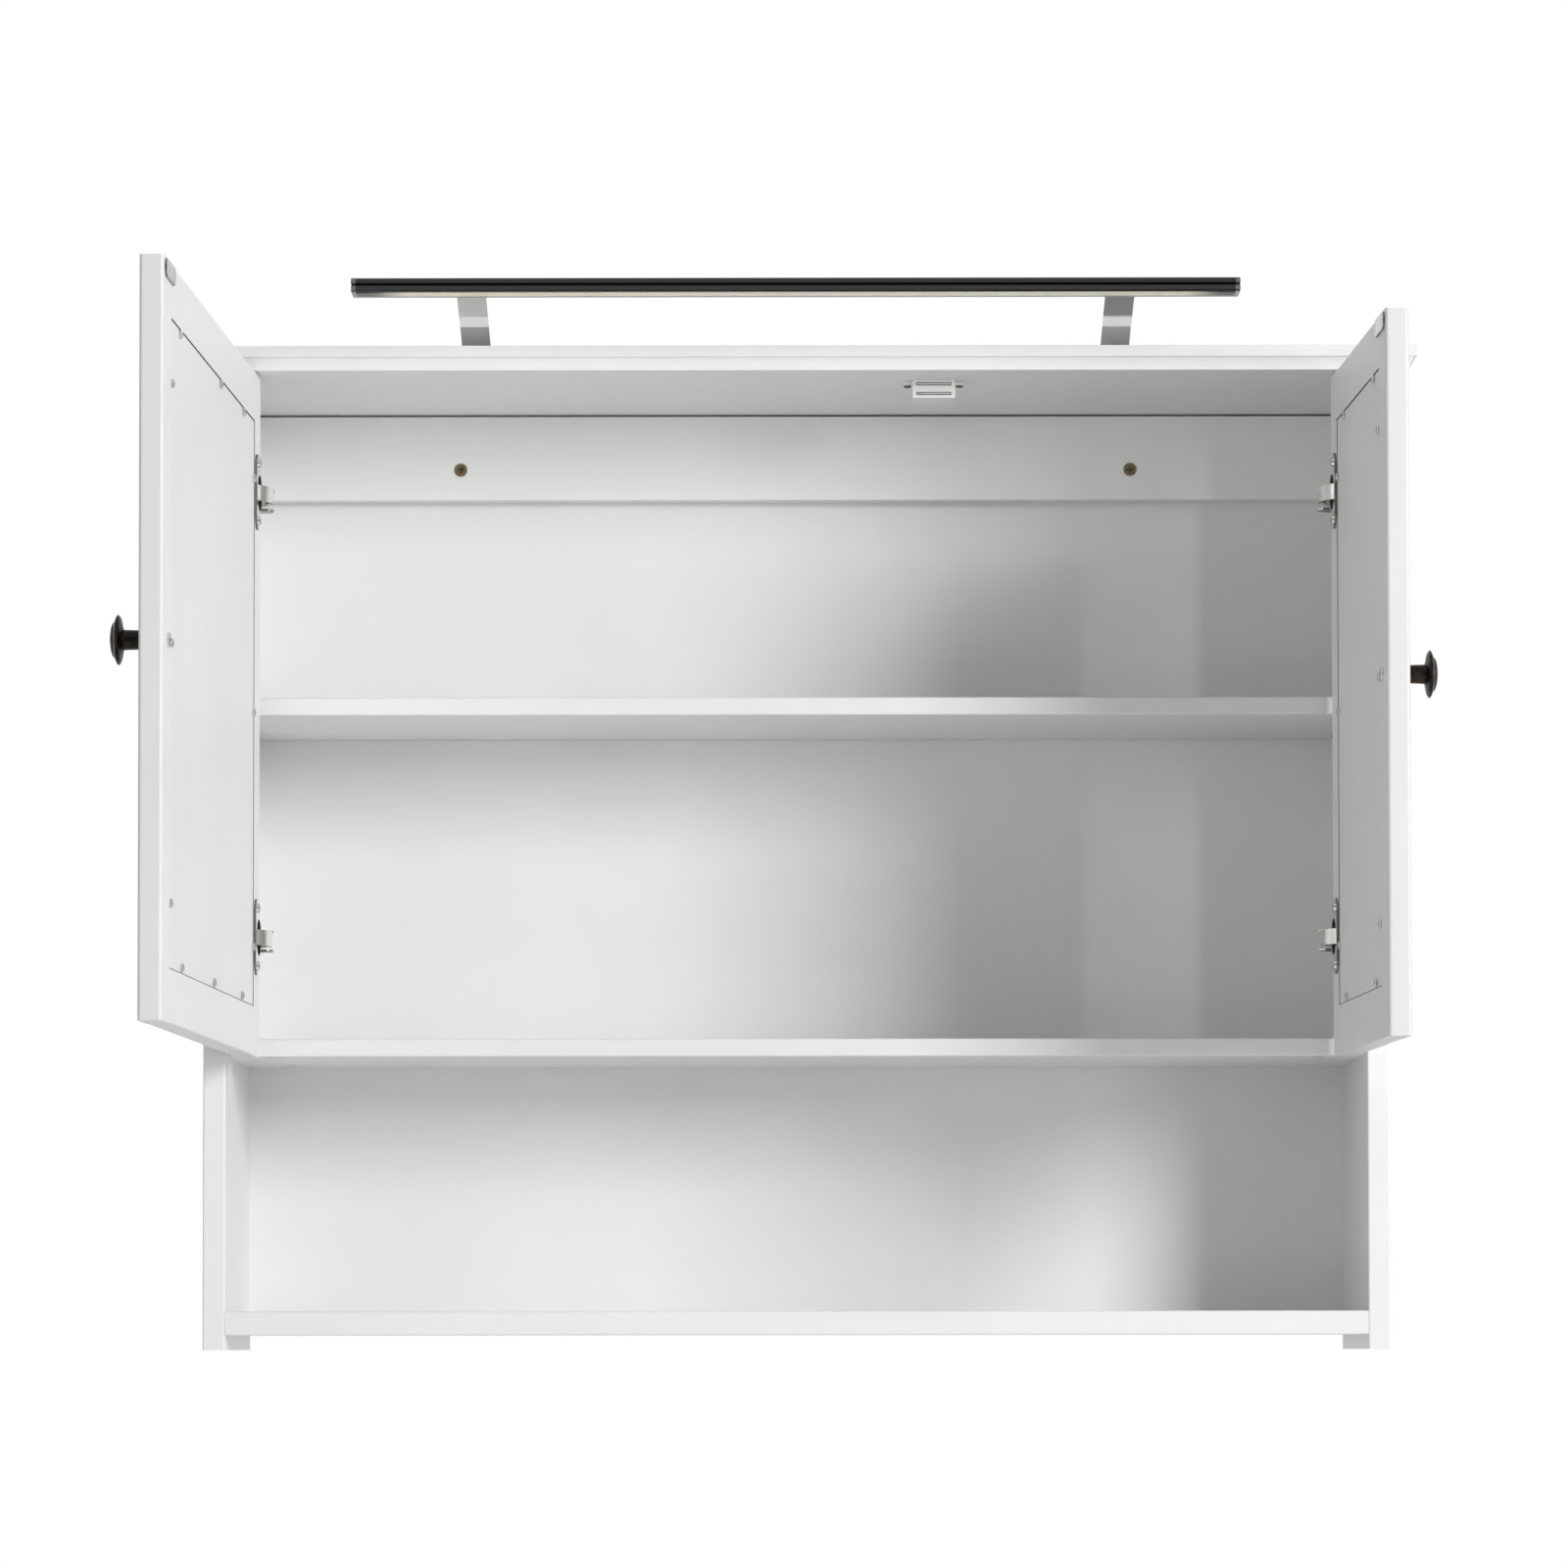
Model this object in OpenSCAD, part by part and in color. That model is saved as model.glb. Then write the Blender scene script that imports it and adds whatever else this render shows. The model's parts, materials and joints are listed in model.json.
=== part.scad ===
/* [Cabinet body] */
// Width across the two side panels
body_w = 800; // [640:10:1000]
// Height of the side panels
body_h = 659; // [620:1:760]
// Depth of the side panels, from their front edges to the wall
body_d = 195; // [150:1:260]
// Thickness of the side panels
side_t = 15; // [12:0.5:22]
// Thickness of the bottom board
bottom_t = 16; // [12:0.5:22]
// Height of the bottom board above the feet of the side panels
foot_h = 10; // [3:1:40]
// Radius of the softened front edges of the boards
edge_r = 1.2; // [0.4:0.1:3]

/* [Shelves] */
// Thickness of the two shelves
shelf_t = 12; // [10:0.5:19]
// Height of the underside of the fixed lower shelf
lower_shelf_z = 198.5; // [150:0.5:260]
// Height of the underside of the loose middle shelf
middle_shelf_z = 430.5; // [360:0.5:500]
// How far the shelves stand behind the front edges of the side panels
shelf_setback = 18; // [17.8:0.1:60]
// Gap between the loose shelf and each side panel
shelf_side_gap = 0.5; // [0.2:0.1:2]
// Gap between the loose shelf and the back panel
shelf_back_gap = 1; // [0.5:0.5:5]
// Diameter of the shelf pins
pin_d = 5; // [4:0.5:6]
// Distance of each shelf pin from the shelf's front and back edge
pin_inset = 32; // [20:1:60]
// Vertical step between the shelf pin holes
pin_step = 32; // [20:1:50]

/* [Crown board] */
// Thickness of the crown board
crown_t = 16; // [12:0.5:25]
// How far the crown board reaches in front of the side panels
crown_front = 29; // [10:1:50]
// How far the crown board reaches past each side panel
crown_side = 18; // [6:1:40]
// Height of the upright lip of the crown board
lip_h = 7.5; // [3:0.5:10]
// How far the bevel under the lip runs in
bevel_in = 5; // [2:0.5:5.5]

/* [Back] */
// Thickness of the back panel
back_t = 3; // [2.5:0.5:5]
// Depth from the wall to the back panel
back_inset = 2; // [1.5:0.5:4]
// How far the back panel reaches into each side panel
back_groove = 7; // [4:0.5:9]
// Clearance round the back panel
back_fit = 0.3; // [0.1:0.1:1]
// Height of the fixing rail under the crown board
rail_h = 60; // [40:1:90]
// Thickness of the fixing rail
rail_t = 15; // [12:0.5:19]
// Open joint between the fixing rail and the crown board
rail_gap = 0.4; // [0.2:0.1:1]

/* [Wall screws] */
// Distance between the two wall screws
wall_screw_spacing = 472; // [300:2:560]
// Distance of the wall screws below the crown board
wall_screw_drop = 39; // [20:1:48]
// Shank diameter of the wall screws
wall_screw_d = 5; // [4:0.5:6]
// Head diameter of the wall screws
wall_screw_head_d = 9.8; // [8:0.1:12]
// Length of the wall screws, head included
wall_screw_len = 60; // [45:5:80]

/* [Doors] */
// Width of the left door
left_door_w = 481; // [300:1:560]
// Height of both doors
door_h = 460; // [420:1:460]
// Thickness of the door frames
door_t = 15; // [14:0.5:15.5]
// Gap round the closed doors and between them
door_gap = 2; // [1.5:0.1:3]
// How far the doors stand open
open_angle = 92; // [0:1:95]
// Visible width of the stiles
stile_w = 43; // [38:1:60]
// Visible width of the rails
door_rail_w = 43; // [38:1:60]
// Thickness of the mirrors
mirror_t = 3; // [2:0.5:4]
// How far each mirror reaches over its frame
mirror_ledge = 3; // [2:0.5:4]
// Thickness of the door backing panels
backing_t = 3; // [2:0.5:4]
// How far each backing panel reaches over its frame
backing_ledge = 10; // [8:0.5:12]
// Clearance round the mirrors
glass_fit = 0.3; // [0.1:0.1:0.6]
// Clearance round the backing panels
backing_fit = 0.7; // [0.1:0.1:0.9]
// Radius of the softened outer edges of the stiles
stile_edge_r = 2.4; // [0.6:0.1:2.8]
// Height step between the backing screws along the stiles
screw_step = 157.5; // [120:0.5:170]
// Distance of the outer rail screws from the end of the wide backing panel
left_screw_end = 54; // [20:1:100]
// Distance of the rail screws from the end of the narrow backing panel
right_screw_end = 32; // [12:1:80]
// Head diameter of the backing screws
backing_screw_head_d = 5.9; // [5:0.1:8]

/* [Knobs] */
// Diameter of the knob head
knob_d = 30.3; // [24:0.1:38]
// Height of the knob off the door
knob_out = 19.5; // [17:0.5:30]
// Thickness of the knob head
knob_head_t = 8; // [6:0.5:9]
// Diameter of the knob stem
knob_stem_d = 11.8; // [9:0.1:14]
// Distance of the knob from the door's free edge
knob_inset = 20; // [16:0.5:30]
// Diameter of the knob screw
knob_screw_d = 4; // [3:0.5:5]

/* [Hinges] */
// Distance between the two hinges of a door
hinge_spacing = 300; // [240:1:340]
// Diameter of the hinge cup
cup_d = 26; // [24:0.5:28]
// Depth of the hinge cup
cup_depth = 11.5; // [11:0.1:12]
// Distance from the door's hinge edge to the cup
cup_edge = 4; // [3.5:0.1:4.5]
// Height of the flange of the hinge cup
flange_h = 51; // [46:0.5:56]
// Width of the flange of the hinge cup
flange_w = 19; // [16:0.5:19]
// Distance of the flange's middle beyond the middle of the cup
flange_shift = 6.3; // [5.5:0.1:6.3]
// Thickness of the flange of the hinge cup
flange_t = 1.6; // [1:0.1:1.8]
// Distance of the door axis from the inside of the side panel
axis_in = 5.2; // [5:0.1:5.4]
// Distance of the door axis in front of the side panels
axis_front = 2.6; // [2.4:0.1:2.8]
// Height of the hinge arm over its two cheeks
arm_h = 14.4; // [14:0.2:18]
// Depth of the hinge arm's rear end behind the front edges
arm_back = 76; // [70:1:90]

/* [Catch] */
// Width of the magnetic catch
catch_w = 29; // [24:1:32]
// Width over the screw ears of the catch
catch_ear_w = 42; // [38:1:50]
// Height of the magnetic catch
catch_h = 12.5; // [11:0.5:14]
// Depth of the magnetic catch
catch_d = 28; // [22:1:34]
// Length of the strike plates
strike_l = 40; // [34:1:42]
// Height of the strike plates
strike_h = 11; // [10:0.5:13]
// Thickness of the strike plates
strike_t = 1.4; // [1:0.1:1.8]

/* [Lamp] */
// Length of the lamp between its end caps
lamp_l = 582; // [400:2:700]
// Depth of the lamp
lamp_d = 26; // [22:1:34]
// Height of the lamp profile
lamp_h = 9.4; // [9:0.1:14]
// Thickness of each end cap
end_cap_t = 3; // [2:0.5:5]
// Distance of the lamp's back in front of the side panels
lamp_front = 77; // [60:1:110]
// Height of the lamp above the crown board
lamp_lift = 24.3; // [18:0.1:45]
// Depth of the light-giving strip
diffuser_d = 12; // [8:0.5:14]
// How far the light-giving strip stands out under the lamp
diffuser_out = 0.6; // [0.3:0.1:2]
// Distance between the centres of the two lamp arms
arm_spacing = 431; // [240:1:470]
// Width of the lamp arms
arm_w = 19.4; // [16:0.2:26]
// Thickness of the lamp arms
arm_t = 2; // [1.5:0.1:3]
// Length of the lamp arms' feet on the crown board
foot_l = 36; // [34:1:60]

/* [Hidden] */
$fn = 40;

LEFT = -1;
RIGHT = 1;
SIDES = [LEFT, RIGHT];
EPS = 0.02;

// Places shared by the boards
half_w = body_w / 2;
inner = half_w - side_t;
back_front_y = body_d - back_inset - back_t;
rail_front_y = back_front_y - rail_t;
rail_z = body_h - rail_gap - rail_h;
wall_screw_z = body_h - wall_screw_drop;
middle_shelf_d = back_front_y - shelf_back_gap - shelf_setback;
rebate_d = back_inset + back_t;

// Fasteners inside the boards
dowel_d = 6;
dowel_len = 30;
dowel_fit = 0.1;
dowel_in_side = 10;
dowel_from_front = 40;
dowel_from_back = 45;
dowel_from_rail_edge = 12;
crown_dowel_from_front = 30;
crown_dowel_from_back = 35;
crown_dowel_up = 10;
frame_dowel_from_end = 13;
frame_dowel_step = 13;
cam_d = 12;
cam_t = 9;
cam_reach = 31;
shelf_cam_depths = [31, 157];
shelf_dowel_depths = [62, 126];
cam_bolt_d = 4;
cam_bolt_in_side = 9;
hole_slack = 0.2;
small_shank_d = 2.5;
small_head_d = 6;
small_head_h = 1.5;
back_screw_len = 14;
back_screw_places_x = [-0.8, -0.27, 0.27, 0.8];
neck_d = 4.2;
neck_short = 1;
head_cone_h = 2.8;
recess_l = 5.2;
recess_w = 1.6;
recess_depth = 1.3;
recess_core_d = 3.4;
recess_core_depth = 2.2;
wall_screw_tip = 5;

// Doors
right_door_w = 2 * inner - 3 * door_gap - left_door_w;
door_z = body_h - door_gap - door_h;
door_mid_z = door_z + door_h / 2;
lip_t = door_t - mirror_t - backing_t;
frame_open = backing_ledge - mirror_ledge;
backing_screw_in = 3.7;
backing_screw_len = 9;
// The rail screws are set by hand: how far each sits off its even place
left_top_off = [7, -28, 13.5];
left_bottom_off = [8, -2, -2];
right_off = [8, 6.5];
screw_head_h = 1.4;
knob_screw_head_d = 9;
knob_screw_head_h = 2.1;
mirror_bevel = 2;
mirror_bevel_h = 3;

// Hinges: all of a hinge's curved pieces turn about the door's own axis
axis_x = inner - axis_in;
axis_y = -axis_front;
cup_a = cup_edge + cup_d / 2;
cup_wall = 0.8;
cup_fit = 0.1;
cup_top_y = door_t;
link_r = 21;
link_t = 2.4;
link_gap = 0.5;
strap_r = link_r + link_t + link_gap;
strap_t = 2.6;
link_side_gap = 0.4;
link_from_angle = 49;
link_to_angle = 101;
strap_from_angle = 26;
strap_to_angle = 100;
cup_pin_d = 2.4;
cup_pin_angle = 31;
collar_out = 0.8;
rivet_gap = 0.4;
link_ratio = 0.48;
cheek_t = 1.6;
link_w = arm_h - 2 * cheek_t - 2 * link_side_gap;
rivet_d = 3;
rivet_angle = 58;
nose_y = door_t + flange_t + 0.5;
plate_t = 3;
plate_from = 38;
plate_to = 70;
plate_hole_step = 32;
plate_foot_t = 2;
plate_foot_from = 2;
plate_foot_d = 12;
plate_foot_reach = 6;
plate_screw_len = 11.5;
cup_screw_len = 10;
arm_screw_d = 3;
arm_screw_y = (plate_from + plate_to) / 2 + 6;
plate_screw_y = plate_from + plate_foot_from + plate_foot_d / 2;
nose_in = 7.6;
nose_out = 27;
nose_tip = 30.5;
nose_tip_back = 4;
heel_out = 29;
heel_back = 11;
waist_out = 14;
waist_back = 20;
nose_side_back = 14;
arm_out = 13;
arm_web_t = 1.6;
arm_clear = 4;
flange_screw_step = 19.5;

// Catch near the line where the doors meet
meet_x = -inner + door_gap + left_door_w + door_gap / 2;
catch_shift = -5;
catch_y = door_t + strike_t + 0.4;
pole_t = 1.8;
pole_l = 23.4;
pole_out = 0.3;
pole_step = 6.6;
magnet_wall = 1.4;
pole_low = 3;
pole_d = 16;
ear_t = 2.4;
ear_d = 12;
ear_back = 13;
strike_top = 1.5;
strike_end = 3;
strike_screw_step = 26;
strike_corner = 4;
strike_head_d = 4.8;
strike_head_h = 0.9;
strike_head_sunk = 0.1;
strike_screw_len = 9;
catch_screw_head_d = 5;
catch_screw_head_h = 1.3;
catch_screw_len = 12;

// Lamp
crown_top = body_h + crown_t;
lamp_z = crown_top + lamp_lift;
lamp_front_y = -lamp_front - lamp_d;
lamp_wall = 1.5;
led_w = 8;
led_t = 0.8;
diffuser_t = 1.6;
diffuser_edge = 1.2;
diffuser_fit = 0.1;
diffuser_front = lamp_h / 2 + diffuser_edge + diffuser_fit;
foot_screw_from_end = 8;
foot_screw_len = 13;
back_screw_spread = 10;
lamp_screw_head_d = 4.6;
lamp_screw_len = 5;
foot_from_y = -8;
arm_screw_step = 20;
cap_screw_d = 3;
bush_d = 7;
bush_bore = 4.5;
bush_x = -140;

// Cabinet coordinates: X across, Y back from the front edges, Z up from the feet
module cabinet() {
    translate([0, -body_d, -wall_screw_z]) children();
}

// Everything that has a left and a right hand is drawn for the left
module hand(side) {
    if (side == RIGHT) mirror([1, 0, 0]) children();
    else children();
}

// Door coordinates: X along the door from its hinge edge, Y back from the mirror
// side, Z up from the door's bottom edge; "turn" is the angle it stands open
module door_at(side, turn = open_angle) {
    cabinet() hand(side)
        translate([-axis_x, axis_y, 0]) rotate([0, 0, -turn]) translate([axis_x, -axis_y, 0])
            translate([-inner + door_gap, 0, door_z]) children();
}

function door_width(side) = side == LEFT ? left_door_w : right_door_w;

module white() { color("white") children(); }
module nickel() { color("silver") children(); }

// A hole for a small screw, going forward from the face y = 0 and starting "past" behind it
module pilot(depth, past = 0) {
    rotate([90, 0, 0]) translate([0, 0, -past])
        cylinder(d = small_shank_d + hole_slack, h = depth + past);
}

// The same going along +X from the face x = 0
module pilot_x(depth, past = 0, bore = small_shank_d + hole_slack) {
    rotate([0, 90, 0]) translate([0, 0, -past]) cylinder(d = bore, h = depth + past);
}

// A flat shape drawn in Y and Z, run along X
module along_x(length) {
    rotate([90, 0, 90]) linear_extrude(height = length) children();
}

// A flat shape drawn in X and Z, run back along Y
module along_y(length) {
    translate([0, length, 0]) rotate([90, 0, 0]) linear_extrude(height = length) children();
}

// A rectangle whose two corners on the line x = 0 are rounded
module front_rounded(depth, thick, radius) {
    translate([radius, 0]) square([depth - radius, thick]);
    translate([0, radius]) square([radius, thick - 2 * radius]);
    for (y = [radius, thick - radius]) translate([radius, y]) circle(r = radius);
}

// A rectangle with all four corners rounded
module all_rounded(width, height, radius) {
    translate([radius, 0]) square([width - 2 * radius, height]);
    translate([0, radius]) square([width, height - 2 * radius]);
    for (x = [radius, width - radius], y = [radius, height - radius])
        translate([x, y]) circle(r = radius);
}

// A screw along +Y whose head sits on the plane y = 0, with a cross recess
module pan_screw(head_d, head_h, shank_d, length) {
    difference() {
        rotate([90, 0, 0]) {
            cylinder(d = head_d, h = head_h * 0.6);
            translate([0, 0, head_h * 0.6]) cylinder(d1 = head_d, d2 = head_d * 0.7, h = head_h * 0.4);
        }
        cross_recess(head_d * 0.5, head_h);
    }
    rotate([-90, 0, 0]) {
        cylinder(d = shank_d, h = length - shank_d);
        translate([0, 0, length - shank_d]) cylinder(d1 = shank_d, d2 = 0.3, h = shank_d);
    }
}

module cross_recess(size, head_h) {
    for (turn = [0, 90])
        translate([0, -head_h, 0]) rotate([0, turn, 0])
            cube([size, head_h, size * 0.22], center = true);
}

// Boards of the carcass

module side_panel(side) {
    white() cabinet() hand(side) difference() {
        translate([-half_w, 0, 0]) linear_extrude(height = body_h)
            rotate([0, 0, 90]) mirror([0, 1]) front_rounded(body_d, side_t, edge_r);
        // rebate for the back panel
        translate([-inner - back_groove, body_d - rebate_d, foot_h])
            cube([back_groove + 1, rebate_d + 1, body_h]);
        dowel_places() rotate([0, 90, 0])
            translate([0, 0, -dowel_in_side]) cylinder(d = dowel_d + 2 * dowel_fit, h = dowel_in_side + 1);
        cam_places() pilot_x(1, cam_bolt_in_side, cam_bolt_d + hole_slack);
        crown_dowel_places() translate([0, 0, -dowel_len / 2 - 0.5])
            cylinder(d = dowel_d + 2 * dowel_fit, h = dowel_len);
        pin_holes();
        plate_screw_places() pilot_x(1, plate_screw_len - plate_foot_t + 1);
    }
}

// Where the boards' ends meet the inside of the left side panel
module dowel_places() {
    for (y = [dowel_from_front, body_d - dowel_from_back])
        translate([-inner, y, foot_h + bottom_t / 2]) children();
    for (y = shelf_dowel_depths) translate([-inner, y, lower_shelf_z + shelf_t / 2]) children();
    for (z = [dowel_from_rail_edge, rail_h - dowel_from_rail_edge])
        translate([-inner, rail_front_y + rail_t / 2, rail_z + z]) children();
}

// The cams open under the bottom board and under the lower shelf
module cam_places() {
    translate([-inner, body_d / 2, foot_h + bottom_t / 2]) children();
    for (y = shelf_cam_depths) translate([-inner, y, lower_shelf_z + shelf_t / 2]) children();
}

// Where the crown board stands on the left side panel
module crown_dowel_places() {
    for (y = [crown_dowel_from_front, body_d / 2, body_d - crown_dowel_from_back])
        translate([-half_w + side_t / 2, y, body_h]) children();
}

module pin_holes() {
    for (y = pin_rows(), step = [-1, 0, 1])
        translate([-inner - 9, y, middle_shelf_z - pin_d / 2 - 2 + step * pin_step])
            rotate([0, 90, 0]) cylinder(d = pin_d + hole_slack, h = 10);
}

function pin_rows() = [shelf_setback + pin_inset, shelf_setback + middle_shelf_d - pin_inset];

module board_end_cuts() {
    for (side = SIDES) hand(side) {
        dowel_places() rotate([0, 90, 0]) translate([0, 0, -1])
            cylinder(d = dowel_d + 2 * dowel_fit, h = dowel_len - dowel_in_side + 1.5);
        cam_places() {
            pilot_x(cam_reach, 1, cam_bolt_d + hole_slack);
            translate([cam_reach, 0, -10]) cylinder(d = cam_d + hole_slack, h = 10 + cam_t / 2);
        }
    }
    back_screw_places() pilot(back_screw_len + 1);
}

module shelf_board(z, thick, front, depth, side_gap) {
    translate([-inner + side_gap, front, z]) along_x(2 * (inner - side_gap))
        front_rounded(depth, thick, edge_r);
}

module bottom_board() {
    white() cabinet() difference() {
        shelf_board(foot_h, bottom_t, 0, back_front_y, 0);
        board_end_cuts();
    }
}

module lower_shelf() {
    white() cabinet() difference() {
        shelf_board(lower_shelf_z, shelf_t, shelf_setback, back_front_y - shelf_setback, 0);
        board_end_cuts();
    }
}

module middle_shelf() {
    white() cabinet()
        shelf_board(middle_shelf_z, shelf_t, shelf_setback, middle_shelf_d, shelf_side_gap);
}

module shelf_pins() {
    nickel() cabinet() for (side = SIDES, y = pin_rows()) hand(side) {
        translate([-inner - 8, y, middle_shelf_z - pin_d / 2 - 2]) rotate([0, 90, 0])
            cylinder(d = pin_d, h = 9);
        translate([-inner, y - 4.5, middle_shelf_z - 2]) cube([9, 9, 2]);
        translate([-inner, y - 1, middle_shelf_z - 6]) rotate([90, 0, 90])
            linear_extrude(height = 6) square([2, 4 + EPS]);
    }
}

module crown_outline(half_run) {
    polygon([
        [-half_run, crown_t], [-half_run, crown_t - lip_h], [-half_run + bevel_in, 0],
        [half_run - bevel_in, 0], [half_run, crown_t - lip_h], [half_run, crown_t]
    ]);
}

module crown_board() {
    white() cabinet() difference() {
        translate([0, 0, body_h]) intersection() {
            translate([0, -crown_front, 0]) along_y(crown_front + body_d)
                crown_outline(half_w + crown_side);
            translate([-half_w - crown_side, 0, 0]) along_x(body_w + 2 * crown_side) polygon([
                [-crown_front, crown_t], [-crown_front, crown_t - lip_h],
                [-crown_front + bevel_in, 0], [body_d, 0], [body_d, crown_t]
            ]);
        }
        for (side = SIDES) hand(side) crown_dowel_places()
            translate([0, 0, -1]) cylinder(d = dowel_d + 2 * dowel_fit, h = crown_dowel_up + 1.5);
        catch_screw_places() cylinder(d = small_shank_d + hole_slack, h = catch_screw_len);
        lamp_foot_screw_places() translate([0, 0, arm_t - foot_screw_len - 1])
            cylinder(d = small_shank_d + hole_slack, h = foot_screw_len);
    }
}

module carcass_dowels() {
    color("burlywood") cabinet() for (side = SIDES) hand(side) {
        dowel_places() rotate([0, 90, 0]) translate([0, 0, -dowel_in_side])
            cylinder(d = dowel_d, h = dowel_len);
        crown_dowel_places() translate([0, 0, -dowel_len / 2])
            cylinder(d = dowel_d, h = dowel_len / 2 + crown_dowel_up);
    }
}

module cam_bolts() {
    nickel() cabinet() for (side = SIDES) hand(side)
        cam_places() rotate([0, 90, 0]) translate([0, 0, -cam_bolt_in_side])
            cylinder(d = cam_bolt_d, h = cam_bolt_in_side + cam_reach - cam_d / 2 + 1);
}

// The cam grips the bolt's end, which reaches one millimetre into its slot
module cam_locks() {
    color("gray") cabinet() for (side = SIDES) hand(side) cam_places() difference() {
        translate([cam_reach, 0, -cam_t / 2]) cylinder(d = cam_d, h = cam_t);
        translate([cam_reach - cam_d / 2 - 1, -cam_bolt_d / 2 - 0.3, -cam_bolt_d / 2 - 0.3])
            cube([3, cam_bolt_d + 0.6, cam_bolt_d + 0.6]);
        translate([cam_reach, 0, -cam_t / 2]) cube([6, 1.2, 2.4], center = true);
        translate([cam_reach, 0, -cam_t / 2]) cube([1.2, 6, 2.4], center = true);
    }
}

module back_panel() {
    white() cabinet() difference() {
        translate([-inner - back_groove + back_fit, back_front_y, foot_h + back_fit])
            cube([2 * (inner + back_groove - back_fit), back_t, body_h - foot_h - 2 * back_fit]);
        wall_screw_places() rotate([-90, 0, 0]) translate([0, 0, -1])
            cylinder(d = wall_screw_d + 2 * hole_slack, h = back_t + 2);
        back_screw_places() pilot(back_t + 1, 1);
    }
}

// On the wall side of the back panel, over the boards' rear edges
module back_screw_places() {
    for (x = back_screw_places_x * inner,
         z = [foot_h + bottom_t / 2, lower_shelf_z + shelf_t / 2])
        translate([x, back_front_y + back_t, z]) children();
}

module back_panel_screws() {
    nickel() cabinet() back_screw_places() rotate([0, 0, 180])
        pan_screw(small_head_d, small_head_h, small_shank_d, back_screw_len);
}

module back_rail() {
    white() cabinet() difference() {
        translate([-inner, rail_front_y, rail_z]) cube([2 * inner, rail_t, rail_h]);
        board_end_cuts();
        wall_screw_places() {
            rotate([-90, 0, 0]) translate([0, 0, -rail_t - 1])
                cylinder(d = wall_screw_d + 2 * hole_slack, h = rail_t + 2);
            translate([0, -rail_t, 0]) rotate([-90, 0, 0])
                cylinder(d1 = wall_screw_head_d + 0.4, d2 = wall_screw_d, h = 3);
        }
    }
}

// On the rear face of the fixing rail, at the height of the origin
module wall_screw_places() {
    for (side = SIDES) translate([side * wall_screw_spacing / 2, back_front_y, wall_screw_z]) children();
}

// A thinner neck runs through the cabinet; the full shank starts just short of
// the wall plane and stands out of it
module wall_screws() {
    neck_l = rail_t + back_t + back_inset - neck_short;
    color("darkgoldenrod") cabinet() wall_screw_places() translate([0, -rail_t, 0])
        rotate([-90, 0, 0]) difference() {
            union() {
                translate([0, 0, -0.2]) cylinder(d1 = wall_screw_head_d, d2 = neck_d, h = head_cone_h);
                cylinder(d = neck_d, h = neck_l + 1);
                translate([0, 0, neck_l])
                    cylinder(d = wall_screw_d, h = wall_screw_len - neck_l - wall_screw_tip);
                translate([0, 0, wall_screw_len - wall_screw_tip])
                    cylinder(d1 = wall_screw_d, d2 = wall_screw_d * 0.1, h = wall_screw_tip);
            }
            for (turn = [0, 90]) rotate([0, 0, turn])
                cube([recess_l, recess_w, 2 * recess_depth], center = true);
            translate([0, 0, -0.3])
                cylinder(d1 = recess_core_d, d2 = recess_w * 0.8, h = recess_core_depth + 0.3);
        }
}

// Doors: two stiles, two rails, mirror, backing panel and their screws

// The frame's section, from its outer edge at x = 0 to its opening
module frame_section(width) {
    difference() {
        square([width, door_t]);
        translate([width - mirror_ledge, lip_t]) square([mirror_ledge + 1, door_t]);
        translate([width - backing_ledge, lip_t + mirror_t]) square([backing_ledge + 1, door_t]);
        // bevel round the mirror
        polygon([
            [width - mirror_bevel * (1 + 1 / mirror_bevel_h), -1], [width + 1, -1],
            [width + 1, mirror_bevel_h], [width, mirror_bevel_h]
        ]);
    }
}

module edge_softener(thick, radius) {
    difference() {
        translate([-1, -1]) square([radius + 1, thick + 2]);
        front_rounded(radius * 3, thick, radius);
    }
}

module stile_blank() {
    difference() {
        linear_extrude(height = door_h) difference() {
            square([stile_w, door_t]);
            edge_softener(door_t, stile_edge_r);
        }
        translate([0, 0, door_rail_w]) linear_extrude(height = door_h - 2 * door_rail_w)
            difference() {
                translate([stile_w - backing_ledge, -1]) square([backing_ledge + 1, door_t + 2]);
                frame_section(stile_w);
            }
        // the rebates run on to the corners of the mirror and of the backing panel
        translate([stile_w - backing_ledge, lip_t + mirror_t, door_rail_w - backing_ledge])
            cube([backing_ledge + 1, door_t, door_h - 2 * (door_rail_w - backing_ledge)]);
        translate([stile_w - mirror_ledge, lip_t, door_rail_w - mirror_ledge])
            cube([mirror_ledge + 1, door_t, door_h - 2 * (door_rail_w - mirror_ledge)]);
    }
}

module hinge_stile(side) {
    white() door_at(side) difference() {
        stile_blank();
        cup_places() rotate([90, 0, 0]) cylinder(d = cup_d + 2 * cup_fit, h = cup_depth + 0.1);
        cup_places() flange_screw_places() pilot(cup_screw_len);
        hinge_side_screws() pilot(backing_screw_len);
        frame_dowel_bores(side);
    }
}

module free_stile(side) {
    white() door_at(side) difference() {
        translate([door_width(side), 0, 0]) mirror([1, 0, 0]) stile_blank();
        knob_place(side) rotate([-90, 0, 0]) translate([0, 0, -1])
            cylinder(d = knob_screw_d + 2 * hole_slack, h = door_t + 2);
        strike_screw_places(side) pilot(strike_screw_len);
        free_side_screws(side) pilot(backing_screw_len);
        frame_dowel_bores(side);
    }
}

// Pairs of dowels from each rail into the stiles
module frame_dowel_places(side) {
    first = frame_dowel_from_end;
    second = frame_dowel_from_end + frame_dowel_step;
    for (x = [stile_w, door_width(side) - stile_w], z = [first, second, door_h - second, door_h - first])
        translate([x, door_t / 2, z]) rotate([0, 90, 0]) children();
}

module frame_dowel_bores(side) {
    frame_dowel_places(side) cylinder(d = dowel_d + 2 * dowel_fit, h = dowel_len + 1, center = true);
}

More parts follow.
